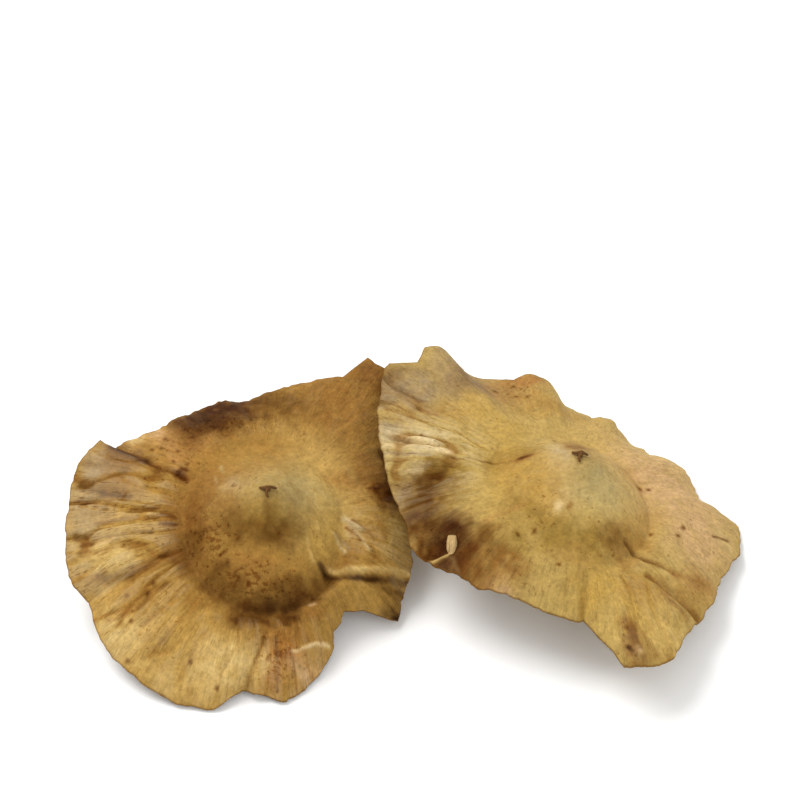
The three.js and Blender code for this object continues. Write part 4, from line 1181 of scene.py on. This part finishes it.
def wing_material(name, settings, fibre_contrast):
    """Dry papery wing tissue: painted tint, fibres, mottling, ribs and brown specks."""
    material, tree, shader = new_material(name)
    tint = attribute(tree, "tint", "Color")
    streak = attribute(tree, "streak", "Vector")
    place = attribute(tree, "place", "Vector")
    rib = attribute(tree, "rib", "Fac")
    wing = attribute(tree, "wing", "Fac")
    under = attribute(tree, "under", "Fac")
    fibres = group_node(tree, "Dry fibres",
                        {"Streak": streak, "Scale": 1.15, "Contrast": fibre_contrast})
    mottle = group_node(tree, "Soft mottling", {"Place": place, "Scale": 0.9, "Contrast": 0.7})
    grain = group_node(tree, "Soft mottling", {"Place": place, "Scale": 3.2, "Contrast": 0.95})
    specks = group_node(tree, "Brown specks",
                        {"Place": place, "Scale": 1.9, "Amount": settings.speck_amount})
    on_wing = ranged(tree, wing, 0.0, 0.25, 0.25, 1.0)
    fibre_tint = mixed(tree, on_wing, (1, 1, 1, 1), fibres.outputs["Shade"])
    colour = mixed(tree, 1.0, tint, fibre_tint, "MULTIPLY")
    colour = mixed(tree, 1.0, colour, mottle.outputs["Shade"], "MULTIPLY")
    colour = mixed(tree, 1.0, colour, grain.outputs["Shade"], "MULTIPLY")
    # Painted shade: the rib valleys are darkened.
    valley = ranged(tree, rib, -1.0, -0.1, 0.75, 0.0)
    colour = mixed(tree, valley, colour, VALLEY_SHADE, "MULTIPLY")
    # Painted highlight: the rib ridges are lightened.
    ridge = ranged(tree, rib, 0.1, 0.7, 0.0, 0.08)
    colour = mixed(tree, ridge, colour, RIDGE_HIGHLIGHT, "SCREEN")
    lined = attribute(tree, "lined", "Fac")
    thin = ranged(tree, fibres.outputs["Height"], -0.1, -0.3, 0.0, 0.7)
    thin = math_node(tree, "MULTIPLY", math_node(tree, "MULTIPLY", thin, lined), on_wing)
    colour = mixed(tree, thin, colour, FIBRE_SHADE, "MULTIPLY")
    stain = attribute(tree, "stain", "Fac")
    cloud = add_node(tree, "ShaderNodeTexNoise",
                     {"Vector": place, "Scale": 2.4, "Detail": 5.0, "Roughness": 0.62}).outputs["Fac"]
    level = math_node(tree, "MULTIPLY_ADD", stain, -0.18, 0.66)
    over = math_node(tree, "SUBTRACT", cloud, level)
    mottled = ranged(tree, over, 0.0, 0.09, 0.0, 0.7)
    colour = mixed(tree, mottled, colour, MOTTLED_SHADE, "MULTIPLY")
    speck_colour = (*settings.stain_colour, 1)
    colour = mixed(tree, specks.outputs["Mask"], colour, speck_colour)
    # Painted shade: the underside is darkened.
    dark_under = math_node(tree, "MULTIPLY", under, 0.35)
    colour = mixed(tree, dark_under, colour, UNDER_SHADE, "MULTIPLY")
    edge = ranged(tree, wing, 0.985, 1.0, 0.0, 0.55)
    colour = mixed(tree, edge, colour, speck_colour)
    tree.links.new(colour, shader.inputs["Base Color"])
    rough = ranged(tree, mottle.outputs["Shade"], 0.7, 1.3, 0.5, 0.72)
    tree.links.new(rough, shader.inputs["Roughness"])
    shader.inputs["Specular IOR Level"].default_value = 0.03
    fine = math_node(tree, "MULTIPLY", fibres.outputs["Height"], on_wing)
    height = math_node(tree, "ADD", fine, grain.outputs["Shade"])
    relief_node = add_node(tree, "ShaderNodeBump",
                           {"Height": height, "Strength": 0.6, "Distance": 0.00012})
    tree.links.new(relief_node.outputs[0], shader.inputs["Normal"])
    return material


def woody_material(name, colour, dark, contrast, roughness):
    """Dry woody tissue of styles, stalks and splinters, with fibres along the piece."""
    material, tree, shader = new_material(name)
    streak = attribute(tree, "streak", "Vector")
    place = attribute(tree, "place", "Vector")
    fibres = group_node(tree, "Dry fibres", {"Streak": streak, "Scale": 0.8, "Contrast": contrast})
    mottle = group_node(tree, "Soft mottling", {"Place": place, "Scale": 2.5, "Contrast": 0.8})
    depth = ranged(tree, fibres.outputs["Height"], -0.35, 0.25, 0.0, 1.0)
    tone = mixed(tree, depth, (*dark, 1), (*colour, 1))
    tone = mixed(tree, 1.0, tone, mottle.outputs["Shade"], "MULTIPLY")
    tree.links.new(tone, shader.inputs["Base Color"])
    shader.inputs["Specular IOR Level"].default_value = 0.15
    rough = ranged(tree, mottle.outputs["Shade"], 0.7, 1.3, roughness - 0.1, roughness + 0.1)
    tree.links.new(rough, shader.inputs["Roughness"])
    relief_node = add_node(tree, "ShaderNodeBump",
                           {"Height": fibres.outputs["Height"], "Strength": 0.6, "Distance": 0.0001})
    tree.links.new(relief_node.outputs[0], shader.inputs["Normal"])
    return material


def floor_material():
    """A plain pale studio floor with a very slight unevenness."""
    material, tree, shader = new_material("Pale floor")
    coordinates = tree.nodes.new("ShaderNodeTexCoord")
    mottle = group_node(tree, "Soft mottling",
                        {"Place": coordinates.outputs["Object"], "Scale": 30.0, "Contrast": 0.02})
    colour = mixed(tree, 1.0, FLOOR_COLOUR, mottle.outputs["Shade"], "MULTIPLY")
    tree.links.new(colour, shader.inputs["Base Color"])
    shader.inputs["Roughness"].default_value = 0.9
    shader.inputs["Specular IOR Level"].default_value = 0.1
    return material


# ---------------------------------------------------------------------------
# Settings
# ---------------------------------------------------------------------------

class PaliurusFruitSettings(bpy.types.PropertyGroup):
    """Sizes and colours of the winged fruits. Small lengths are in millimetres."""

    wing_thickness: bpy.props.FloatProperty(
        name="Wing Thickness", description="Thickness of the wing beside the body, in millimetres",
        default=0.36, min=0.1, max=1.0)
    margin_thickness: bpy.props.FloatProperty(
        name="Margin Thickness", description="Thickness of the wing at its edge, in millimetres",
        default=0.14, min=0.05, max=0.5)
    rib_height: bpy.props.FloatProperty(
        name="Rib Height", description="Height of the radial ribs, as a share of the usual one",
        default=1.0, min=0.0, max=3.0, subtype="FACTOR")
    wrinkle_height: bpy.props.FloatProperty(
        name="Wrinkle Height", description="Height of cockles and warts, as a share of the usual one",
        default=1.0, min=0.0, max=3.0, subtype="FACTOR")
    groove_width: bpy.props.FloatProperty(
        name="Groove Width", description="Half width of the ring groove, in millimetres",
        default=0.8, min=0.1, max=2.0)
    under_depth: bpy.props.FloatProperty(
        name="Underside Depth", description="How far the body bulges below the wing, in millimetres",
        default=2.9, min=0.5, max=6.0)
    speck_amount: bpy.props.FloatProperty(
        name="Speck Amount", description="How strong the small brown specks are",
        default=0.55, min=0.0, max=1.0, subtype="FACTOR")
    stain_colour: bpy.props.FloatVectorProperty(
        name="Stain Colour", description="Colour of specks and of the wing's dry edge",
        default=tuple(linear("6B4519")), min=0.0, max=1.0, subtype="COLOR")


class PaliurusWoodSettings(bpy.types.PropertyGroup):
    """Colours of the woody pieces."""

    style_colour: bpy.props.FloatVectorProperty(
        name="Style Colour", description="Colour of the withered styles",
        default=tuple(linear("7A5226")), min=0.0, max=1.0, subtype="COLOR")
    stalk_colour: bpy.props.FloatVectorProperty(
        name="Stalk Colour", description="Colour of the short stalks",
        default=tuple(linear("8E6D40")), min=0.0, max=1.0, subtype="COLOR")
    splinter_colour: bpy.props.FloatVectorProperty(
        name="Splinter Colour", description="Colour of the pale torn splinter",
        default=tuple(linear("D2B27C")), min=0.0, max=1.0, subtype="COLOR")
    dark_colour: bpy.props.FloatVectorProperty(
        name="Furrow Colour", description="Colour between the fibres of woody pieces",
        default=tuple(linear("3A2410")), min=0.0, max=1.0, subtype="COLOR")


class PaliurusStageSettings(bpy.types.PropertyGroup):
    """Camera, lights and floor."""

    elevation: bpy.props.FloatProperty(
        name="Camera Elevation", description="Angle of the camera above the horizon",
        default=math.radians(50), subtype="ANGLE")
    distance: bpy.props.FloatProperty(
        name="Camera Distance", description="Distance from the camera to the point it looks at",
        default=0.3, min=0.05, unit="LENGTH")
    lens: bpy.props.FloatProperty(
        name="Lens", description="Focal length of the camera in millimetres", default=168.75)
    aim: bpy.props.FloatVectorProperty(
        name="Camera Aim", description="Point the camera looks at, from the middle of the footprint",
        default=(-0.00053, 0.00631, 0.01166), subtype="TRANSLATION", unit="LENGTH")
    key_power: bpy.props.FloatProperty(
        name="Key Light", description="Power of the large soft light, in watts",
        default=2.2, min=0.0, unit="POWER")
    fill_power: bpy.props.FloatProperty(
        name="Fill Light", description="Power of the weak second light, in watts",
        default=0.5, min=0.0, unit="POWER")
    sky_strength: bpy.props.FloatProperty(
        name="Sky Strength", description="Strength of the even light all round", default=0.9, min=0.0)


# ---------------------------------------------------------------------------
# Operators
# ---------------------------------------------------------------------------

class PALIURUS_OT_add_fruits(bpy.types.Operator):
    """Build both winged fruits and the torn splinter of the right one"""

    bl_idname = "paliurus.add_fruits"
    bl_label = "Add Winged Fruits"
    bl_options = {"REGISTER", "UNDO"}

    def execute(self, context):
        settings, wood = context.scene.paliurus_fruit, context.scene.paliurus_wood
        build_fruit(LEFT_FRUIT, settings, wing_material("Ochre dry wing", settings, 0.55))
        build_fruit(RIGHT_FRUIT, settings, wing_material("Pale dry wing", settings, 0.5))
        splinter = woody_material("Pale splinter", wood.splinter_colour, linear("9C7A48"), 0.3, 0.7)
        build_splinter(RIGHT_FRUIT, splinter)
        return {"FINISHED"}


class PALIURUS_OT_add_styles(bpy.types.Operator):
    """Build the withered three-armed style on each crown"""

    bl_idname = "paliurus.add_styles"
    bl_label = "Add Withered Styles"
    bl_options = {"REGISTER", "UNDO"}

    def execute(self, context):
        wood = context.scene.paliurus_wood
        material = woody_material("Withered style", wood.style_colour, wood.dark_colour, 0.4, 0.75)
        for fruit in (LEFT_FRUIT, RIGHT_FRUIT):
            build_style(fruit, material)
        return {"FINISHED"}


class PALIURUS_OT_add_stalks(bpy.types.Operator):
    """Build the short stalk and calyx cup below each body"""

    bl_idname = "paliurus.add_stalks"
    bl_label = "Add Stalks"
    bl_options = {"REGISTER", "UNDO"}

    def execute(self, context):
        settings, wood = context.scene.paliurus_fruit, context.scene.paliurus_wood
        material = woody_material("Stalk wood", wood.stalk_colour, wood.dark_colour, 0.4, 0.75)
        for fruit in (LEFT_FRUIT, RIGHT_FRUIT):
            build_stalk(fruit, settings, material)
        return {"FINISHED"}


def add_light(name, power, size, location, target):
    light = bpy.data.lights.new(name, "AREA")
    light.energy = power
    light.shape = "DISK"
    light.size = size
    lamp = bpy.data.objects.new(name, light)
    lamp.location = location
    lamp.rotation_mode = "QUATERNION"
    lamp.rotation_quaternion = (target - lamp.location).to_track_quat("-Z", "Y")
    bpy.context.scene.collection.objects.link(lamp)


class PALIURUS_OT_add_stage(bpy.types.Operator):
    """Add the floor, the soft lights and the camera"""

    bl_idname = "paliurus.add_stage"
    bl_label = "Add Stage"
    bl_options = {"REGISTER", "UNDO"}

    def execute(self, context):
        stage = context.scene.paliurus_stage
        middle = (CAD_LOW + CAD_HIGH) / 2
        self.add_floor(context)
        add_light("Key light", stage.key_power, 0.35, middle + Vector((-0.26, 0.16, 0.46)), middle)
        add_light("Fill light", stage.fill_power, 0.4, middle + Vector((0.35, -0.3, 0.35)), middle)
        world = bpy.data.worlds.new("Soft sky")
        world.use_nodes = True
        world.node_tree.nodes["Background"].inputs["Color"].default_value = (1, 1, 1, 1)
        world.node_tree.nodes["Background"].inputs["Strength"].default_value = stage.sky_strength
        context.scene.world = world
        context.scene.view_settings.view_transform = "Standard"
        self.add_camera(context, stage)
        return {"FINISHED"}

    def add_floor(self, context):
        half = 1.5
        mesh = bpy.data.meshes.new("floor")
        corners = [(-half, -half, 0), (half, -half, 0), (half, half, 0), (-half, half, 0)]
        mesh.from_pydata(corners, [], [(0, 1, 2, 3)])
        mesh.materials.append(floor_material())
        floor = bpy.data.objects.new("floor", mesh)
        context.scene.collection.objects.link(floor)

    def add_camera(self, context, stage):
        back = Vector((0, -math.cos(stage.elevation), math.sin(stage.elevation)))
        data = bpy.data.cameras.new("Camera")
        data.lens = stage.lens
        data.sensor_width = 36
        data.clip_start = 0.01
        camera = bpy.data.objects.new("Camera", data)
        camera.location = Vector(stage.aim) + back * stage.distance
        camera.rotation_mode = "QUATERNION"
        camera.rotation_quaternion = (-back).to_track_quat("-Z", "Y")
        context.scene.collection.objects.link(camera)
        context.scene.camera = camera


# ---------------------------------------------------------------------------
# Panel and registration
# ---------------------------------------------------------------------------

OPERATORS = (PALIURUS_OT_add_fruits, PALIURUS_OT_add_styles, PALIURUS_OT_add_stalks,
             PALIURUS_OT_add_stage)
SETTINGS = {
    "paliurus_fruit": PaliurusFruitSettings,
    "paliurus_wood": PaliurusWoodSettings,
    "paliurus_stage": PaliurusStageSettings,
}


class PALIURUS_PT_panel(bpy.types.Panel):
    """Lists the builders of the dried fruits"""

    bl_label = "Dried Paliurus Fruits"
    bl_idname = "PALIURUS_PT_panel"
    bl_space_type = "VIEW_3D"
    bl_region_type = "UI"
    bl_category = "Paliurus"

    def draw(self, context):
        for operator in OPERATORS:
            self.layout.operator(operator.bl_idname)
        for name, group in SETTINGS.items():
            column = self.layout.column(align=True)
            for setting in group.__annotations__:
                column.prop(getattr(context.scene, name), setting)


def register():
    for kind in (*SETTINGS.values(), *OPERATORS, PALIURUS_PT_panel):
        bpy.utils.register_class(kind)
    for name, group in SETTINGS.items():
        setattr(bpy.types.Scene, name, bpy.props.PointerProperty(type=group))


def unregister():
    for name in SETTINGS:
        delattr(bpy.types.Scene, name)
    for kind in reversed((*SETTINGS.values(), *OPERATORS, PALIURUS_PT_panel)):
        bpy.utils.unregister_class(kind)


def main():
    register()
    bpy.ops.paliurus.add_stage()
    bpy.ops.paliurus.add_fruits()
    bpy.ops.paliurus.add_styles()
    bpy.ops.paliurus.add_stalks()


if __name__ == "__main__":
    main()
